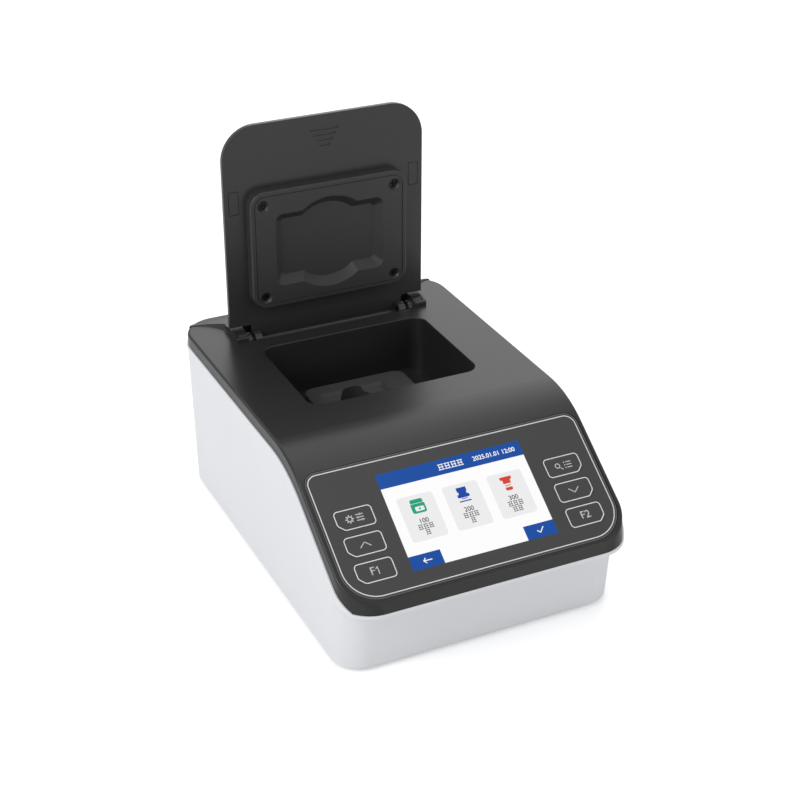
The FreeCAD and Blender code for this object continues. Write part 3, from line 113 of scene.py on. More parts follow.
class PanelSizes(PropertyGroup):
    slope: FloatProperty(name="Slope", description="Angle of the control panel from level",
                         default=math.radians(33.76), subtype="ANGLE")
    fold_y: length("Fold", "Place of the fold where the slope meets the deck", -41.3 * MM)
    fold_z: length("Deck", "Height of the deck at the fold", 87.1 * MM)
    sink: length("Film face", "Depth of the film's face under the slope", 0.4 * MM)
    ink: length("Ink", "Thickness of the printed ink", 0.03 * MM)
    line: length("Line", "Width of the silver lines", 0.48 * MM)
    width: length("Outline width", "Width of the silver outline round the panel", 137.4 * MM)
    top: length("Outline top", "Distance of the outline's top from the fold", 12.0 * MM)
    height: length("Outline height", "Height of the outline along the slope", 62.87 * MM)
    low_radius: length("Low corners", "Corner radius at the bottom of the outline", 15.0 * MM)
    top_radius: length("Top corners", "Corner radius at the top of the outline", 5.0 * MM)
    # Place and width of a painted highlight: a lighter line along the film's edge, laid on as ink
    edge_out: length("Edge highlight place", "Distance of the painted edge highlight from the silver outline", 1.22 * MM)
    edge_line: length("Edge highlight", "Width of the painted highlight along the film's edge", 0.3 * MM)


class KeySizes(PropertyGroup):
    width: length("Width", "Width of a key's silver outline", 18.05 * MM)
    height: length("Height", "Height of a key's silver outline", 9.5 * MM)
    across: length("Column", "Distance of each key column from the middle", 53.4 * MM)
    first: length("First row", "Height of the lowest key over the outline's bottom", 12.0 * MM)
    pitch: length("Pitch", "Distance between two keys in a column", 13.2 * MM)
    radius: length("Corner", "Radius of three corners", 1.8 * MM)
    cut: length("Cut corner", "Length of the slanting cut at the lower outer corner", 3.0 * MM)
    cut_ease: length("Cut ease", "Softening at both ends of the slanting cut", 0.9 * MM)
    stroke: length("Stroke", "Width of the signs' strokes", 0.45 * MM)
    sign_shift: length("Sign shift", "Distance of a pair of signs from the key's middle", 2.5 * MM)
    letter: length("Letter", "Size of the letters on the function keys", 5.4 * MM)


class ScreenSizes(PropertyGroup):
    width: length("Width", "Width of the lit page", 73.4 * MM)
    height: length("Height", "Height of the lit page", 48.8 * MM)
    rise: length("Rise", "Height of the page over the outline's bottom", 7.17 * MM)
    header: length("Header", "Height of the header bar", 7.3 * MM)
    card_width: length("Card width", "Width of a menu card", 18.0 * MM)
    card_height: length("Card height", "Height of a menu card", 22.4 * MM)
    card_rise: length("Card place", "Height of the cards' middle over the outline's bottom", 31.0 * MM)
    card_pitch: length("Card pitch", "Distance between two cards", 22.9 * MM)
    card_radius: length("Card corner", "Radius of a card's corners", 1.6 * MM)
    sign_rise: length("Sign place", "Height of a card's sign over the card's middle", 5.7 * MM)
    sign_stroke: length("Sign stroke", "Stroke of the soft keys' signs", 0.45 * MM)
    number: length("Number", "Size of the number on a card", 3.3 * MM)
    title: length("Title", "Size of the marks in the header", 3.1 * MM)
    title_stroke: length("Title stroke", "Stroke of the marks in the header", 0.32 * MM)
    clock: length("Clock", "Size of the date and time in the header", 3.2 * MM)
    clock_x: length("Clock place", "Left end of the date from the middle", 11.4 * MM)
    soft_width: length("Soft key width", "Width of a soft key", 15.4 * MM)
    soft_height: length("Soft key height", "Height of a soft key", 6.7 * MM)
    overhang: length("Overhang", "Reach of the blue bars over the lit glass's edge", 0.14 * MM)
    brightness: FloatProperty(name="Brightness", description="Strength of the backlight", default=0.97,
                              min=0.0)


class RockerSizes(PropertyGroup):
    pivot: FloatVectorProperty(name="Pivot", description="Place of the rocker's axis", subtype="TRANSLATION",
                               default=(-44.0 * MM, 104.4 * MM, 27.0 * MM), precision=5)
    rest: FloatProperty(name="Rest", description="Tilt of the rocker at rest", default=math.radians(-7.0),
                        subtype="ANGLE")
    wing: FloatProperty(name="Wing", description="Slant of each half of the rocker's face",
                        default=math.atan2(1.0, 8.6), subtype="ANGLE")
    face: length("Face", "Distance of the face's fold from the axis", 2.2 * MM)
    across: length("Mark place", "Distance of a mark from the fold", 5.0 * MM)
    line: length("Line", "Length of the mark for on", 3.6 * MM)
    ring: length("Ring", "Radius of the mark for off", 1.8 * MM)
    stroke: length("Stroke", "Width of the marks' strokes", 0.5 * MM)


class FinishColours(PropertyGroup):
    housing: shade("Housing", "Light moulded housing", "#E3E5E8")
    cover: shade("Cover", "Dark moulded cover", "#262627")
    lid: shade("Lid", "Dark moulded lid and pad", "#303031")
    bay: shade("Bay", "Black moulded bay", "#222222")
    film: shade("Film", "Printed panel film", "#333334")
    silver: shade("Silver ink", "Lines round the panel and the keys", "#E0E0E0")
    sign: shade("Grey ink", "Signs on the keys", "#C4C4C5")
    # Lighter grey for the ring along the film's edge: a painted highlight where the edge catches light, not a
    # part of the film left unprinted
    edge: shade("Edge highlight", "Painted highlight along the film's edge", "#68686A")
    page: shade("Page", "Screen page", "#FFFFFF")
    header: shade("Header", "Header bar and soft keys", "#104CA2")
    card: shade("Card", "Menu cards", "#EFEFF0")
    text: shade("Text", "Dark marks on the page", "#4A4C50")
    green: shade("Green", "First card's sign", "#1FA37A")
    blue: shade("Blue", "Second card's sign", "#1648A8")
    red: shade("Red", "Third card's sign", "#D9432F")
    rubber: shade("Rubber", "Feet", "#242425")
    zinc: shade("Zinc", "Zinc plated screws and sheet", "#C9CCD0")
    oxide: shade("Black oxide", "Pad screws and hinge pins", "#3A3A3B")
    magnet: shade("Magnet", "Nickel plated magnets", "#D6D4CC")
    adapter: shade("Adapter", "Tube adapter", "#424243")
    acetal: shade("Acetal", "Machined optical block", "#1A1A1B")
    sensor: shade("Sensor", "Body of the photodiode", "#1B1B1C")
    component: shade("Component", "Screen module and parts on the boards", "#1E1E20")
    nylon: shade("Nylon", "Rear switch and power socket", "#202021")
    brass: shade("Brass", "Pin of the power socket", "#D9B866")
    shell: shade("Port shell", "Shell of the data port", "#CDCFD1")
    insert: shade("Port insert", "Tongue of the data port", "#1D4FA0")
    pad_print: shade("Printed white", "Marks on the rocker", "#E8E8E8")
    paper: shade("Paper", "Floor of the stage", "#F2F2F3")


class StageSettings(PropertyGroup):
    camera: FloatVectorProperty(name="Camera", description="Place of the camera", subtype="TRANSLATION",
                                default=(-0.31485, -0.66681, 0.48160), precision=5)
    azimuth: FloatProperty(name="Azimuth", description="Turn of the camera about the upright",
                           default=math.radians(-25.473), subtype="ANGLE")
    elevation: FloatProperty(name="Elevation", description="Tilt of the camera above level",
                             default=math.radians(28.657), subtype="ANGLE")
    roll: FloatProperty(name="Roll", description="Turn of the camera about its view",
                        default=math.radians(0.053), subtype="ANGLE")
    lens: FloatProperty(name="Lens", description="Focal length in millimetres", default=77.83)
    floor: length("Floor", "Width of the floor", 14.0)
    ambient: FloatProperty(name="Ambient", description="Strength of the soft light all round", default=0.5)
    mirror: FloatProperty(name="Mirror", description="Strength of the surroundings seen in gloss",
                          default=0.6)
    floor_glow: FloatProperty(name="Floor glow",
                              description="Light added to the floor where the camera sees it",
                              default=0.34)


# Small helpers

def linear(colour):
    """Turn an sRGB hex colour into linear values."""
    parts = [int(colour[place:place + 2], 16) / 255 for place in (1, 3, 5)]
    return tuple(part / 12.92 if part <= 0.04045 else ((part + 0.055) / 1.055) ** 2.4
                 for part in parts) + (1.0,)


def per_metre(size_mm):
    return 1000.0 / size_mm


def add(tree, kind, values=None, links=None, **settings):
    """Add a node with its settings, socket values and links."""
    item = tree.nodes.new(kind)
    for name, setting in settings.items():
        setattr(item, name, setting)
    for name, value in (values or {}).items():
        item.inputs[name].default_value = value
    for name, source in (links or {}).items():
        tree.links.new(source, item.inputs[name])
    return item


def ramp(tree, source, low, high, start=0.35, end=0.65):
    """Blend two colours by a pattern."""
    item = add(tree, "ShaderNodeValToRGB", links={"Fac": source})
    item.color_ramp.elements[0].position = start
    item.color_ramp.elements[0].color = low
    item.color_ramp.elements[1].position = end
    item.color_ramp.elements[1].color = high
    return item.outputs["Color"]


def material(name):
    made = bpy.data.materials.new(name)
    made.use_nodes = True
    made.node_tree.nodes.clear()
    return made, made.node_tree


def output(tree, shader):
    add(tree, "ShaderNodeOutputMaterial", links={"Surface": shader.outputs[0]})


def darker(colour, share):
    return tuple(part * share for part in colour[:3]) + (1.0,)


# Finishes

def moulded_abs(name, colour, grain_mm, depth_mm, roughness, spread=0.93, ior=1.5):
    """Injection moulded plastic. The spark-eroded mould leaves a fine grain that softens each highlight."""
    made, tree = material(name)
    place = add(tree, "ShaderNodeTexCoord").outputs["Object"]
    grain = add(tree, "ShaderNodeTexNoise", {"Scale": per_metre(grain_mm), "Detail": 4.0, "Roughness": 0.6},
                {"Vector": place}).outputs["Fac"]
    cloud = add(tree, "ShaderNodeTexNoise", {"Scale": per_metre(70.0), "Detail": 2.0},
                {"Vector": place}).outputs["Fac"]
    tint = ramp(tree, cloud, darker(linear(colour), spread), linear(colour))
    gloss = add(tree, "ShaderNodeMapRange", {"From Min": 0.3, "From Max": 0.7, "To Min": roughness - 0.05,
                                             "To Max": roughness + 0.05}, {"Value": grain}).outputs["Result"]
    bump = add(tree, "ShaderNodeBump", {"Strength": 0.35, "Distance": depth_mm * MM}, {"Height": grain})
    output(tree, add(tree, "ShaderNodeBsdfPrincipled", {"IOR": ior},
                     {"Base Color": tint, "Roughness": gloss, "Normal": bump.outputs["Normal"]}))
    return made


def printed_film(name, colour):
    """Textured polyester film, printed on its back. A velvet texture keeps it satin."""
    made, tree = material(name)
    place = add(tree, "ShaderNodeTexCoord").outputs["Object"]
    velvet = add(tree, "ShaderNodeTexNoise", {"Scale": per_metre(0.4), "Detail": 2.0},
                 {"Vector": place}).outputs["Fac"]
    cloud = add(tree, "ShaderNodeTexNoise", {"Scale": per_metre(45.0)}, {"Vector": place}).outputs["Fac"]
    tint = ramp(tree, cloud, darker(linear(colour), 0.94), linear(colour))
    gloss = add(tree, "ShaderNodeMapRange", {"To Min": 0.42, "To Max": 0.52},
                {"Value": velvet}).outputs["Result"]
    bump = add(tree, "ShaderNodeBump", {"Strength": 0.2, "Distance": 0.02 * MM}, {"Height": velvet})
    output(tree, add(tree, "ShaderNodeBsdfPrincipled", {"IOR": 1.55},
                     {"Base Color": tint, "Roughness": gloss, "Normal": bump.outputs["Normal"]}))
    return made


def screen_ink(name, colour):
    """Silk-screened ink. Fine pigment gives it an even, slightly mealy tone."""
    made, tree = material(name)
    place = add(tree, "ShaderNodeTexCoord").outputs["Object"]
    flake = add(tree, "ShaderNodeTexNoise", {"Scale": per_metre(0.25), "Detail": 1.0},
                {"Vector": place}).outputs["Fac"]
    tint = ramp(tree, flake, darker(linear(colour), 0.9), linear(colour))
    output(tree, add(tree, "ShaderNodeBsdfPrincipled", {"Roughness": 0.45}, {"Base Color": tint}))
    return made


def lit_screen(name, colour, strength):
    """Backlit liquid crystal behind glass: even light from its own pixels under a glossy face."""
    made, tree = material(name)
    place = add(tree, "ShaderNodeTexCoord").outputs["Object"]
    pixel = add(tree, "ShaderNodeTexVoronoi", {"Scale": per_metre(0.3), "Randomness": 0.0}, {"Vector": place})
    glow = ramp(tree, pixel.outputs["Distance"], darker(linear(colour), 0.985), linear(colour), start=0.1,
                end=0.6)
    output(tree, add(tree, "ShaderNodeBsdfPrincipled",
                     {"Base Color": linear("#0A0A0B"), "Roughness": 0.12, "Emission Strength": strength,
                      "Specular IOR Level": 0.2}, {"Emission Color": glow}))
    return made


def plated_steel(name, colour, roughness):
    """Plated, blackened or bare metal, drawn along its length so that its highlight streaks."""
    made, tree = material(name)
    place = add(tree, "ShaderNodeTexCoord").outputs["Object"]
    stretch = add(tree, "ShaderNodeMapping", {"Scale": (0.05, 1.0, 1.0)}, {"Vector": place}).outputs["Vector"]
    streak = add(tree, "ShaderNodeTexNoise", {"Scale": per_metre(0.5), "Detail": 3.0},
                 {"Vector": stretch}).outputs["Fac"]
    tint = ramp(tree, streak, darker(linear(colour), 0.85), linear(colour))
    gloss = add(tree, "ShaderNodeMapRange", {"To Min": roughness - 0.06, "To Max": roughness + 0.08},
                {"Value": streak}).outputs["Result"]
    bump = add(tree, "ShaderNodeBump", {"Strength": 0.15, "Distance": 0.01 * MM}, {"Height": streak})
    output(tree, add(tree, "ShaderNodeBsdfPrincipled", {"Metallic": 1.0},
                     {"Base Color": tint, "Roughness": gloss, "Normal": bump.outputs["Normal"]}))
    return made


def circuit_board(name):
    """Glass-fibre board under green solder mask. Tracks show as paler lines, the weave as a faint check."""
    made, tree = material(name)
    place = add(tree, "ShaderNodeTexCoord").outputs["Object"]
    tracks = add(tree, "ShaderNodeTexBrick",
                 {"Scale": per_metre(30.0), "Mortar Size": 0.02, "Color1": linear("#0E5A33"),
                  "Color2": linear("#0B4D2B"),
                  "Mortar": linear("#2F8A55")}, {"Vector": place})
    weave = add(tree, "ShaderNodeTexChecker", {"Scale": per_metre(0.8)}, {"Vector": place}).outputs["Fac"]
    bump = add(tree, "ShaderNodeBump", {"Strength": 0.1, "Distance": 0.03 * MM}, {"Height": weave})
    output(tree, add(tree, "ShaderNodeBsdfPrincipled", {"Roughness": 0.3, "IOR": 1.55},
                     {"Base Color": tracks.outputs["Color"], "Normal": bump.outputs["Normal"]}))
    return made


def moulded_rubber(name, colour):
    """Compression moulded rubber: dull, with a fine pitted skin and a little bloom."""
    made, tree = material(name)
    place = add(tree, "ShaderNodeTexCoord").outputs["Object"]
    pits = add(tree, "ShaderNodeTexVoronoi", {"Scale": per_metre(0.7)}, {"Vector": place}).outputs["Distance"]
    tint = ramp(tree, pits, darker(linear(colour), 0.8), linear(colour), start=0.2, end=0.8)
    bump = add(tree, "ShaderNodeBump", {"Strength": 0.3, "Distance": 0.05 * MM}, {"Height": pits})
    output(tree, add(tree, "ShaderNodeBsdfPrincipled", {"Roughness": 0.85, "IOR": 1.52, "Sheen Weight": 0.15},
                     {"Base Color": tint, "Normal": bump.outputs["Normal"]}))
    return made


def polished_glass(name):
    """Polished optical glass with a faint coating bloom that varies over its face."""
    made, tree = material(name)
    place = add(tree, "ShaderNodeTexCoord").outputs["Object"]
    bloom = add(tree, "ShaderNodeTexNoise", {"Scale": per_metre(4.0)}, {"Vector": place}).outputs["Fac"]
    tint = ramp(tree, bloom, linear("#E6EEF8"), linear("#F4F8FF"))
    output(tree, add(tree, "ShaderNodeBsdfPrincipled",
                     {"Roughness": 0.03, "IOR": 1.52, "Transmission Weight": 1.0},
                     {"Base Color": tint}))
    return made


# Modelling helpers

def deselect():
    bpy.ops.object.select_all(action="DESELECT")


def select(pieces):
    deselect()
    for piece in pieces:
        piece.select_set(True)
    bpy.context.view_layer.objects.active = pieces[0]


def pick(piece, kind, wanted):
    """Enter edit mode with only those vertices, edges or faces selected that the test picks."""
    bpy.ops.object.mode_set(mode="EDIT")
    bpy.ops.mesh.select_mode(type=kind)
    bpy.ops.mesh.select_all(action="DESELECT")
    bpy.ops.object.mode_set(mode="OBJECT")
    mesh = piece.data
    for element in {"VERT": mesh.vertices, "EDGE": mesh.edges, "FACE": mesh.polygons}[kind]:
        element.select = wanted(element)
    bpy.ops.object.mode_set(mode="EDIT")


def settle(piece):
    """Write the object's place, turn and size into its mesh."""
    select([piece])
    bpy.ops.object.transform_apply(location=True, rotation=True, scale=True)
    return piece


def plate(x, y, width, height, radii=0.0, turn=0.0, corner_steps=8):
    """A flat plate about a point. Radii go round from the lower left corner."""
    deselect()
    bpy.ops.mesh.primitive_plane_add(size=1.0)
    piece = bpy.context.object
    piece.scale = (width, height, 1.0)
    settle(piece)
    radii = radii if isinstance(radii, tuple) else (radii,) * 4
    corners = [(-width, -height), (width, -height), (width, height), (-width, height)]
    for (corner_x, corner_y), radius in zip(corners, radii):
        if radius:
            corner = Vector((corner_x / 2, corner_y / 2, 0))
            pick(piece, "VERT", lambda vertex: (vertex.co - corner).length < SAME_POINT)
            bpy.ops.mesh.bevel(offset=radius, segments=corner_steps, affect="VERTICES")
            bpy.ops.object.mode_set(mode="OBJECT")
    piece.rotation_euler[2] = turn
    piece.location = (x, y, 0)
    return settle(piece)


def ring(x, y, width, height, radii, line, corner_steps):
    """A line of even width that follows the outline of a plate, centred on it."""
    radii = tuple(radius + line / 2 for radius in radii)
    return hollow(plate(x, y, width + line, height + line, radii, corner_steps=corner_steps), line)


def copied(piece, x, y, mirrored=False):
    """Copy a drawing with a mesh of its own, mirrored across its upright if asked, and place the copy."""
    select([piece])
    bpy.ops.object.duplicate(linked=False)
    copy = bpy.context.object
    copy.location = (x, y, 0)
    copy.scale = (-1.0 if mirrored else 1.0, 1.0, 1.0)
    settle(copy)
    if mirrored:
        bpy.ops.object.mode_set(mode="EDIT")
        bpy.ops.mesh.select_all(action="SELECT")
        bpy.ops.mesh.flip_normals()
        bpy.ops.object.mode_set(mode="OBJECT")
    return copy


def remove(piece):
    select([piece])
    bpy.ops.object.delete()


def hollow(piece, line):
    """Inset a flat face and take out its middle, which leaves a line along its edge."""
    select([piece])
    bpy.ops.object.mode_set(mode="EDIT")
    bpy.ops.mesh.select_mode(type="FACE")
    bpy.ops.mesh.select_all(action="SELECT")
    bpy.ops.mesh.inset(thickness=line, depth=0.0)
    bpy.ops.mesh.delete(type="FACE")
    bpy.ops.object.mode_set(mode="OBJECT")
    return piece


def disc(x, y, radius, steps=40):
    deselect()
    bpy.ops.mesh.primitive_circle_add(vertices=steps, radius=radius, fill_type="NGON", location=(x, y, 0))
    return settle(bpy.context.object)


def bar(x, y, run, width, turn=0.0):
    """A stroke with round ends."""
    return plate(x, y, run, width, width * STROKE_END, turn, corner_steps=4)


def words(text, x, y, size, align="CENTER"):
    """Set plain letters or numbers and turn them into a flat mesh."""
    deselect()
    bpy.ops.object.text_add(location=(x, y, 0))
    piece = bpy.context.object
    piece.data.body = text
    piece.data.size = size
    piece.data.offset = size * LETTER_WEIGHT
    piece.data.align_x = align
    piece.data.align_y = "CENTER"
    piece.data.resolution_u = 4
    bpy.ops.object.convert(target="MESH")
    return settle(bpy.context.object)


def join(name, pieces):
    select(pieces)
    if len(pieces) > 1:
        bpy.ops.object.join()
    piece = bpy.context.object
    piece.name = name
    piece.data.name = name
    return piece


def ink(piece, height):
    """Give a flat drawing the thickness of its ink."""
    select([piece])
    thick = piece.modifiers.new("ink", "SOLIDIFY")
    thick.thickness = height
    thick.offset = 1.0
    bpy.ops.object.modifier_apply(modifier=thick.name)
    return piece


def lay_on_panel(piece, lift):
    """Carry a drawing from level onto the face of the sloping panel."""
    panel = bpy.context.scene.photometer_panel
    depth = lift - panel.sink
    piece.rotation_euler = (panel.slope, 0.0, 0.0)
    piece.location = (0.0, panel.fold_y - depth * math.sin(panel.slope),
                      panel.fold_z + depth * math.cos(panel.slope))
    return settle(piece)


def dress(piece, finish, body):
    """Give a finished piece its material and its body."""
    piece.data.materials.clear()
    piece.data.materials.append(finish)
    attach(piece, body)
    return piece


def finish_nodes(finish, names):
    """Give CAD nodes their material. Their shape stays as the model has it."""
    for name in names:
        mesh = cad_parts[name].data
        mesh.materials.clear()
        mesh.materials.append(finish)


def printed(name, pieces, finish, body="case", lift=0.0):
    """Join flat drawings, give them thickness and lay them on the panel."""
    panel = bpy.context.scene.photometer_panel
    piece = lay_on_panel(ink(join(name, pieces), panel.ink), lift)
    return dress(piece, finish, body)


# Operators, one for each piece or group of like pieces

class BENCH_OT_case(Operator):
    """Finish the housing, the cover, the feet and what holds them"""
    bl_idname = "bench.case"
    bl_label = "Case"

    def execute(self, context):
        colours = context.scene.photometer_colours
        light = moulded_abs("moulded_abs_light_grey", colours.housing, grain_mm=0.9, depth_mm=0.02,
                            roughness=0.5, spread=0.985)
        finish_nodes(light, ["base_housing"])
        dark = moulded_abs("moulded_abs_dark_grey", colours.cover, grain_mm=0.8, depth_mm=0.02,
                           roughness=0.33, ior=1.45)
        finish_nodes(dark, ["top_cover"])
        finish_nodes(moulded_rubber("moulded_rubber_black", colours.rubber), ["rubber_feet"])
        finish_nodes(plated_steel("zinc_plated_steel", colours.zinc, roughness=0.32), ["case_screws"])
        return {"FINISHED"}


class BENCH_OT_lid(Operator):
    """Finish the lid, its pad, its hinge and its magnets"""
    bl_idname = "bench.lid"
    bl_label = "Lid"

    def execute(self, context):
        colours = context.scene.photometer_colours
        dark = moulded_abs("moulded_abs_lid_grey", colours.lid, grain_mm=0.8, depth_mm=0.02, roughness=0.33)
        finish_nodes(dark, ["lid_shell", "hinge_collars", "lid_magnet_covers"])
        dull = moulded_abs("moulded_abs_pad_grey", colours.lid, grain_mm=0.8, depth_mm=0.02, roughness=0.45)
        finish_nodes(dull, ["lid_pad"])
        black = plated_steel("black_oxide_steel", colours.oxide, roughness=0.4)
        finish_nodes(black, ["lid_pad_screws", "hinge_pins"])
        nickel = plated_steel("nickel_plated_magnet", colours.magnet, roughness=0.18)
        finish_nodes(nickel, ["lid_magnets", "cover_magnets"])
        return {"FINISHED"}


class BENCH_OT_bay(Operator):
    """Finish the measuring bay, the tube adapter and the optics under it"""
    bl_idname = "bench.bay"
    bl_label = "Measuring bay"

    def execute(self, context):
        colours = context.scene.photometer_colours
        bay = moulded_abs("moulded_abs_bay_black", colours.bay, grain_mm=0.9, depth_mm=0.03, roughness=0.42)
        finish_nodes(bay, ["measuring_bay"])
        adapter = moulded_abs("moulded_abs_adapter_black", colours.adapter, grain_mm=0.9, depth_mm=0.03,
                              roughness=0.32)
        finish_nodes(adapter, ["tube_adapter"])
        acetal = moulded_abs("machined_acetal_black", colours.acetal, grain_mm=1.4, depth_mm=0.02,
                             roughness=0.4)
        finish_nodes(acetal, ["optical_block"])
        finish_nodes(polished_glass("polished_optical_glass"), ["lamp_lens", "detector_lens", "lamp"])
        epoxy = moulded_abs("moulded_epoxy_black", colours.sensor, grain_mm=0.3, depth_mm=0.01,
                            roughness=0.35)
        finish_nodes(epoxy, ["photodiode"])
        finish_nodes(circuit_board("solder_mask_green"), ["lamp_board", "detector_board"])
        return {"FINISHED"}


class BENCH_OT_panel_film(Operator):
    """Finish the panel film, and draw the silver line and, round it, a lighter grey ring of painted highlight
    along the film's edge
    """
    bl_idname = "bench.panel_film"
    bl_label = "Panel film"

    def execute(self, context):
        colours, panel = context.scene.photometer_colours, context.scene.photometer_panel
        film = printed_film("textured_polyester_film", colours.film)
        finish_nodes(film, ["panel_overlay"])
        silver = screen_ink("silk_screened_silver", colours.silver)
        # The lighter grey ring drawn just outside the silver line is a painted highlight along the film's
        # edge, laid on as ink
        clear = screen_ink("painted_edge_highlight", colours.edge)
        radii = (panel.low_radius, panel.low_radius, panel.top_radius, panel.top_radius)
        for name, out, width, finish in (("panel_line", 0.0, panel.line, silver),
                                         ("panel_edge_highlight", panel.edge_out, panel.edge_line, clear)):
            line = ring(0, -panel.top - panel.height / 2, panel.width + 2 * out, panel.height + 2 * out,
                        tuple(radius + out for radius in radii), width, corner_steps=16)
            printed(name, [line], finish)
        return {"FINISHED"}


def key_outline(sizes, line):
    """The outline of a key in the left column: its lower left corner is cut aslant."""
    width, height = sizes.width + line, sizes.height + line
    outer = sizes.radius + line / 2
    piece = plate(0, 0, width, height, (0.0, outer, outer, outer))
    corner = Vector((-width / 2, -height / 2, 0))
    ends = [corner + Vector((sizes.cut, 0, 0)), corner + Vector((0, sizes.cut, 0))]
    for points, offset, steps in (([corner], sizes.cut, 1), (ends, sizes.cut_ease, 6)):
        pick(piece, "VERT", lambda vertex: min((vertex.co - point).length for point in points) < SAME_POINT)
        bpy.ops.mesh.bevel(offset=offset, segments=steps, affect="VERTICES")
        bpy.ops.object.mode_set(mode="OBJECT")
    return hollow(piece, line)


def chevron(x, y, up, sizes):
    """An arrow head of two strokes that points up or down the panel."""
    run, lean, overlap = 3.8 * MM, math.radians(42.0) * up, sizes.stroke * 0.3
    step = run / 2 * math.cos(lean) - overlap
    return [bar(x - step, y, run, sizes.stroke, lean), bar(x + step, y, run, sizes.stroke, -lean)]


def gear(x, y, sizes):
    hub, tip, tooth_run, tooth_width, teeth = 1.35 * MM, 1.65 * MM, 0.8 * MM, 0.6 * MM, 8
    marks = [hollow(disc(x, y, hub), sizes.stroke)]
    for tooth in range(teeth):
        turn = 2 * math.pi * tooth / teeth
        marks.append(plate(x + tip * math.cos(turn), y + tip * math.sin(turn), tooth_run, tooth_width,
                           turn=turn))
    return marks


def sliders(x, y, sizes):
    """Three rows with a knob each, as on a settings page."""
    run, pitch, knob, shifts = 3.8 * MM, 1.4 * MM, 0.55 * MM, (0.8 * MM, -0.9 * MM, 0.3 * MM)
    marks = []
    for row, shift in zip((-1, 0, 1), shifts):
        marks += [bar(x, y + row * pitch, run, sizes.stroke),
                  disc(x + shift, y + row * pitch, knob, steps=16)]
    return marks


def magnifier(x, y, sizes):
    rim, lift, grip_run, grip_shift = 1.35 * MM, 0.35 * MM, 1.7 * MM, 1.35 * MM
    return [hollow(disc(x - lift, y + lift, rim), sizes.stroke),
            bar(x + grip_shift, y - grip_shift, grip_run, sizes.stroke, math.radians(-45.0))]


def rows(x, y, sizes):
    """A short list: three lines with a dot before each."""
    run, pitch, shift, dot, dot_shift = 2.8 * MM, 1.4 * MM, 0.6 * MM, 0.32 * MM, 1.6 * MM
    marks = []
    for row in (-1, 0, 1):
        marks += [bar(x + shift, y + row * pitch, run, sizes.stroke),
                  disc(x - dot_shift, y + row * pitch, dot, steps=12)]
    return marks


def figure_one(x, y, sizes):
    """A one with a clear flag, as tall as the letter beside it."""
    tall, flag, lean = sizes.letter * 0.7, sizes.letter * 0.26, math.radians(40.0)
    return [plate(x, y, sizes.stroke, tall),
            bar(x - flag / 2 * math.cos(lean), y + tall / 2 - flag / 2 * math.sin(lean) - sizes.stroke / 2,
                flag, sizes.stroke, lean)]


def key_sign(name, x, y, sizes):
    """The strokes of the sign on one key."""
    if name == "key_f_one":
        half = sizes.letter * 0.25
        return [words("F", x - half, y, sizes.letter)] + figure_one(x + half, y, sizes)
    if name == "key_f_two":
        return [words("F2", x, y, sizes.letter)]
    if name == "key_up":
        return chevron(x, y, 1, sizes)
    if name == "key_down":
        return chevron(x, y, -1, sizes)
    if name == "key_settings":
        return gear(x - sizes.sign_shift, y, sizes) + sliders(x + sizes.sign_shift, y, sizes)
    return magnifier(x - sizes.sign_shift, y, sizes) + rows(x + sizes.sign_shift, y, sizes)


class BENCH_OT_keys(Operator):
    """Finish the six keys and draw an outline and a plain sign on each"""
    bl_idname = "bench.keys"
    bl_label = "Keys"

    def execute(self, context):
        colours, panel, sizes = (context.scene.photometer_colours, context.scene.photometer_panel,
                                 context.scene.photometer_keys)
        film = bpy.data.materials["textured_polyester_film"]
        silver = bpy.data.materials["silk_screened_silver"]
        grey = screen_ink("silk_screened_grey", colours.sign)
        low = -panel.top - panel.height + sizes.first
        keys = [("key_f_one", -1, 0), ("key_up", -1, 1), ("key_settings", -1, 2),
                ("key_f_two", 1, 0), ("key_down", 1, 1), ("key_list", 1, 2)]
        finish_nodes(film, [name for name, side, row in keys])
        outline = key_outline(sizes, panel.line)
        for name, side, row in keys:
            x, y = side * sizes.across, low + row * sizes.pitch
            printed(name + "_line", [copied(outline, x, y, side > 0)], silver, name)
            printed(name + "_sign", key_sign(name, x, y, sizes), grey, name)
        remove(outline)
        return {"FINISHED"}


def glyph_row(x, y, count, size, stroke):
    """A row of plain strokes where a word would stand. Each mark has three lines and two uprights."""
    marks = []
    for place in range(count):
        centre = x + (place - (count - 1) / 2) * size * GLYPH_PITCH
        for row, share in GLYPH_LINES:
            marks.append(plate(centre, y + row * size, size * share, stroke * GLYPH_LINE_WIDTH))
        for side in GLYPH_UPRIGHTS:
            marks.append(plate(centre + side * size, y, stroke, size * GLYPH_TALL))
    return marks


def mark_rows(x, y, counts):
    """The rows of marks under a card's number, with as many marks in each as asked."""
    marks = []
    for drop, count in zip(MARK_DROPS, counts):
        marks += glyph_row(x, y - drop, count, MARK_SIZE, MARK_STROKE)
    return marks


def sign_plates(x, y, plates):
    """Draw a card's sign about a point from its table of plates."""
    return [plate(x + across * MM, y + up * MM, width * MM, height * MM,
                  tuple(radius * MM for radius in radii))
            for across, up, width, height, radii in plates]


def sign_strokes(x, y, strokes, stroke):
    """Draw a soft key's sign about a point from its table of strokes."""
    return [bar(x + across * MM, y + up * MM, run * MM, stroke, math.radians(turn))
            for across, up, run, turn in strokes]


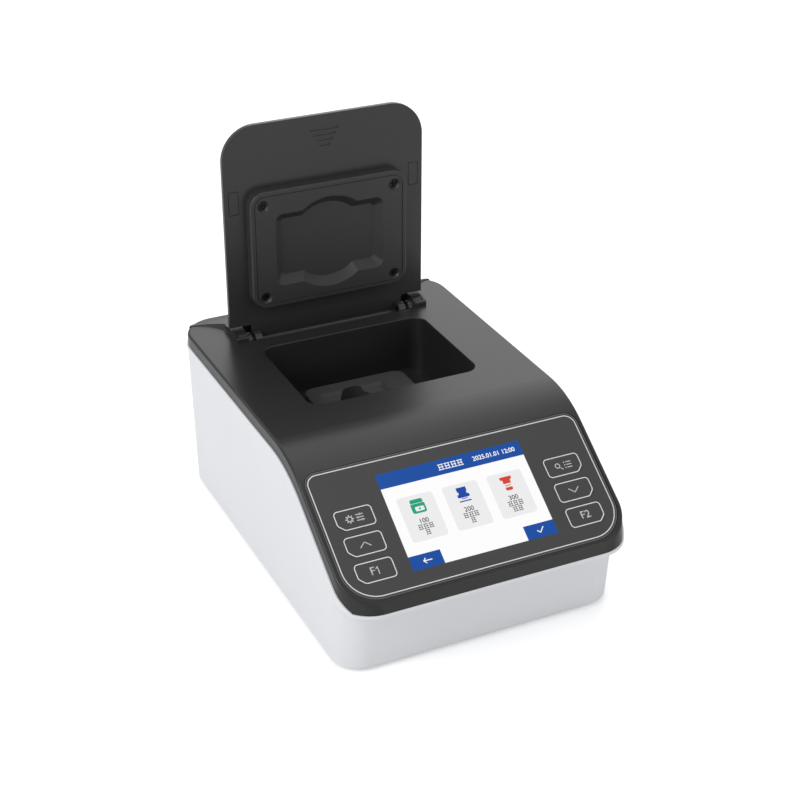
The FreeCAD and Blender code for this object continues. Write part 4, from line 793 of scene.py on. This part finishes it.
class BENCH_OT_screen(Operator):
    """Light the screen with a plain menu page of three cards, a header and two soft keys"""
    bl_idname = "bench.screen"
    bl_label = "Screen page"

    def execute(self, context):
        colours, panel, page = (context.scene.photometer_colours, context.scene.photometer_panel,
                                context.scene.photometer_screen)
        lit = {}
        for name in ("page", "header", "card", "text", "green", "blue", "red"):
            lit[name] = lit_screen("lit_screen_" + name, getattr(colours, name), page.brightness)
        finish_nodes(lit["page"], ["display_window"])
        bottom = -panel.top - panel.height
        base = bottom + page.rise
        header_y = base + page.height - page.header / 2
        soft_x, soft_y = (page.width - page.soft_width) / 2, base + page.soft_height / 2
        middle = bottom + page.card_rise
        sign_y = middle + page.sign_rise
        places = [side * page.card_pitch for side in (-1, 0, 1)]
        layer = panel.ink

        spare = 2 * page.overhang
        blues = [plate(0, header_y, page.width + spare, page.header + spare)]
        soft = plate(0, 0, page.soft_width + spare, page.soft_height + spare)
        blues += [copied(soft, side * soft_x, soft_y) for side in (-1, 1)]
        remove(soft)
        card = plate(0, 0, page.card_width, page.card_height, page.card_radius)
        cards = [copied(card, x, middle) for x in places]
        remove(card)
        whites = glyph_row(0.0, header_y, HEADER_MARKS, page.title, page.title_stroke)
        whites.append(words(HEADER_DATE, page.clock_x, header_y, page.clock, "LEFT"))
        whites += sign_strokes(-soft_x, soft_y, ARROW_STROKES, page.sign_stroke)
        whites += sign_strokes(soft_x, soft_y, TICK_STROKES, page.sign_stroke)
        texts = []
        for x, (number, counts) in zip(places, CARD_TEXTS):
            texts += [words(number, x, middle - NUMBER_DROP, page.number)] + mark_rows(x, middle, counts)
        green_x, blue_x, red_x = places
        pane = sign_plates(green_x, sign_y, PANE_PLATES)
        across, up, radius = (size * MM for size in JAR_DOT)
        dot = [disc(green_x + across, sign_y + up, radius)]
        drawings = [
            ("screen_bars", blues, "header", 0), ("screen_cards", cards, "card", 0),
            ("screen_white_marks", whites, "page", 1), ("screen_text_marks", texts, "text", 1),
            ("screen_sign_green", sign_plates(green_x, sign_y, JAR_PLATES), "green", 1),
            ("screen_sign_blue", sign_plates(blue_x, sign_y, CAP_PLATES), "blue", 1),
            ("screen_sign_red", sign_plates(red_x, sign_y, TUBE_PLATES), "red", 1),
            ("screen_sign_pane", pane, "card", 2), ("screen_sign_dot", dot, "green", 3),
        ]
        for name, drawing, colour, level in drawings:
            printed(name, drawing, lit[colour], lift=level * layer)
        return {"FINISHED"}


class BENCH_OT_boards(Operator):
    """Finish the screen module, the key boards, the main board and their screws"""
    bl_idname = "bench.boards"
    bl_label = "Boards"

    def execute(self, context):
        steel = bpy.data.materials["zinc_plated_steel"]
        finish_nodes(steel, ["display_bracket", "bracket_screws", "keypad_screws", "board_screws",
                             "dome_switches"])
        finish_nodes(bpy.data.materials["solder_mask_green"], ["keypad_boards", "main_board"])
        colours = context.scene.photometer_colours
        epoxy = moulded_abs("moulded_epoxy_component", colours.component, grain_mm=0.4, depth_mm=0.01,
                            roughness=0.4)
        finish_nodes(epoxy, ["display_module", "board_components"])
        return {"FINISHED"}


class BENCH_OT_rear(Operator):
    """Finish the rear switch and sockets, and mark the switch's two sides"""
    bl_idname = "bench.rear"
    bl_label = "Rear panel"

    def execute(self, context):
        colours = context.scene.photometer_colours
        nylon = moulded_abs("moulded_nylon_black", colours.nylon, grain_mm=0.5, depth_mm=0.02, roughness=0.3)
        finish_nodes(nylon, ["power_switch_bezel", "power_rocker", "power_socket"])
        finish_nodes(plated_steel("machined_brass", colours.brass, roughness=0.25), ["power_socket_pin"])
        finish_nodes(plated_steel("stamped_nickel_shell", colours.shell, roughness=0.28), ["data_port"])
        insert = moulded_abs("moulded_insert_blue", colours.insert, grain_mm=0.5, depth_mm=0.01,
                             roughness=0.35)
        finish_nodes(insert, ["data_port_tongue"])
        white = screen_ink("pad_printed_white", colours.pad_print)
        rocker = context.scene.photometer_rocker
        thickness = context.scene.photometer_panel.ink
        rest = Matrix.Translation(rocker.pivot) @ Matrix.Rotation(rocker.rest, 4, "Z")
        stand = Matrix.Rotation(math.radians(-90.0), 4, "X")
        line = bar(0, 0, rocker.line, rocker.stroke, math.radians(90.0))
        circle = hollow(disc(0, 0, rocker.ring), rocker.stroke)
        for name, drawing, side in (("rocker_mark_line", line, -1), ("rocker_mark_ring", circle, 1)):
            piece = ink(join(name, [drawing]), thickness)
            face = rocker.face + rocker.across * math.tan(rocker.wing)
            piece.matrix_world = (rest @ Matrix.Translation((side * rocker.across, face, 0.0))
                                  @ Matrix.Rotation(side * rocker.wing, 4, "Z") @ stand)
            settle(piece)
            dress(piece, white, "power_rocker")
        return {"FINISHED"}


class BENCH_OT_stage(Operator):
    """Set the pale floor, the soft boxes and the camera"""
    bl_idname = "bench.stage"
    bl_label = "Stage"

    def execute(self, context):
        stage = context.scene.photometer_stage
        deselect()
        bpy.ops.mesh.primitive_plane_add(size=stage.floor, location=(0, 0, 0))
        floor = settle(bpy.context.object)
        floor.name = "studio_floor"
        made, tree = material("seamless_paper_white")
        seen = add(tree, "ShaderNodeLightPath")
        paper = add(tree, "ShaderNodeBsdfPrincipled",
                    {"Base Color": linear(context.scene.photometer_colours.paper), "Roughness": 0.9})
        glow = add(tree, "ShaderNodeEmission", {"Color": (1, 1, 1, 1)},
                   {"Strength": add(tree, "ShaderNodeMath", {1: stage.floor_glow},
                                    {0: seen.outputs["Is Camera Ray"]},
                                    operation="MULTIPLY").outputs[0]})
        output(tree, add(tree, "ShaderNodeAddShader", links={0: paper.outputs[0], 1: glow.outputs[0]}))
        floor.data.materials.append(made)

        for name, place, size, power in SOFT_BOXES:
            deselect()
            bpy.ops.object.light_add(type="AREA", location=place)
            lamp = context.object
            lamp.name = name
            lamp.data.size = size
            lamp.data.energy = power
            lamp.rotation_euler = (Vector(LAMP_AIM) - Vector(place)).to_track_quat("-Z", "Y").to_euler()

        world = bpy.data.worlds.new("studio")
        context.scene.world = world
        world.use_nodes = True
        tree = world.node_tree
        tree.nodes.clear()
        path = add(tree, "ShaderNodeLightPath")
        clear = add(tree, "ShaderNodeMath", operation="MAXIMUM",
                    links={0: path.outputs["Is Camera Ray"],
                           1: path.outputs["Is Transmission Ray"]}).outputs[0]
        gloss = add(tree, "ShaderNodeMix", {"A": stage.ambient, "B": stage.mirror},
                    {"Factor": path.outputs["Is Glossy Ray"]}, data_type="FLOAT").outputs[0]
        strength = add(tree, "ShaderNodeMix", {"B": 1.0}, {"Factor": clear, "A": gloss},
                       data_type="FLOAT").outputs[0]
        sky = add(tree, "ShaderNodeBackground", {"Color": (1, 1, 1, 1)}, {"Strength": strength})
        add(tree, "ShaderNodeOutputWorld", links={"Surface": sky.outputs[0]})

        deselect()
        bpy.ops.object.camera_add()
        camera = context.object
        turn = (Matrix.Rotation(stage.azimuth, 4, "Z")
                @ Matrix.Rotation(math.radians(90.0) - stage.elevation, 4, "X")
                @ Matrix.Rotation(stage.roll, 4, "Z"))
        camera.matrix_world = Matrix.Translation(stage.camera) @ turn
        camera.data.lens = stage.lens
        camera.data.sensor_width = SENSOR_MM
        camera.data.clip_start, camera.data.clip_end = NEAREST, FARTHEST
        context.scene.camera = camera
        context.scene.view_settings.view_transform = "Standard"
        return {"FINISHED"}


OPERATORS = (BENCH_OT_case, BENCH_OT_lid, BENCH_OT_bay, BENCH_OT_panel_film, BENCH_OT_keys, BENCH_OT_screen,
             BENCH_OT_boards, BENCH_OT_rear, BENCH_OT_stage)
GROUPS = (("photometer_panel", PanelSizes), ("photometer_keys", KeySizes), ("photometer_screen", ScreenSizes),
          ("photometer_rocker", RockerSizes), ("photometer_colours", FinishColours),
          ("photometer_stage", StageSettings))


class BENCH_PT_photometer(Panel):
    """Lists the settings and the steps that dress the photometer"""
    bl_idname = "BENCH_PT_photometer"
    bl_label = "Bench photometer"
    bl_space_type = "VIEW_3D"
    bl_region_type = "UI"
    bl_category = "Photometer"

    def draw(self, context):
        for name, group in GROUPS:
            settings = getattr(context.scene, name)
            block = self.layout.box()
            for field in group.__annotations__:
                block.prop(settings, field)
        for step in OPERATORS:
            self.layout.operator(step.bl_idname)


def register():
    for name, group in GROUPS:
        bpy.utils.register_class(group)
        setattr(bpy.types.Scene, name, PointerProperty(type=group))
    for step in OPERATORS:
        bpy.utils.register_class(step)
    bpy.utils.register_class(BENCH_PT_photometer)


def unregister():
    bpy.utils.unregister_class(BENCH_PT_photometer)
    for step in reversed(OPERATORS):
        bpy.utils.unregister_class(step)
    for name, group in reversed(GROUPS):
        delattr(bpy.types.Scene, name)
        bpy.utils.unregister_class(group)


def main():
    register()
    bpy.ops.bench.case()
    bpy.ops.bench.lid()
    bpy.ops.bench.bay()
    bpy.ops.bench.panel_film()
    bpy.ops.bench.keys()
    bpy.ops.bench.screen()
    bpy.ops.bench.boards()
    bpy.ops.bench.rear()
    bpy.ops.bench.stage()


if __name__ == "__main__":
    main()
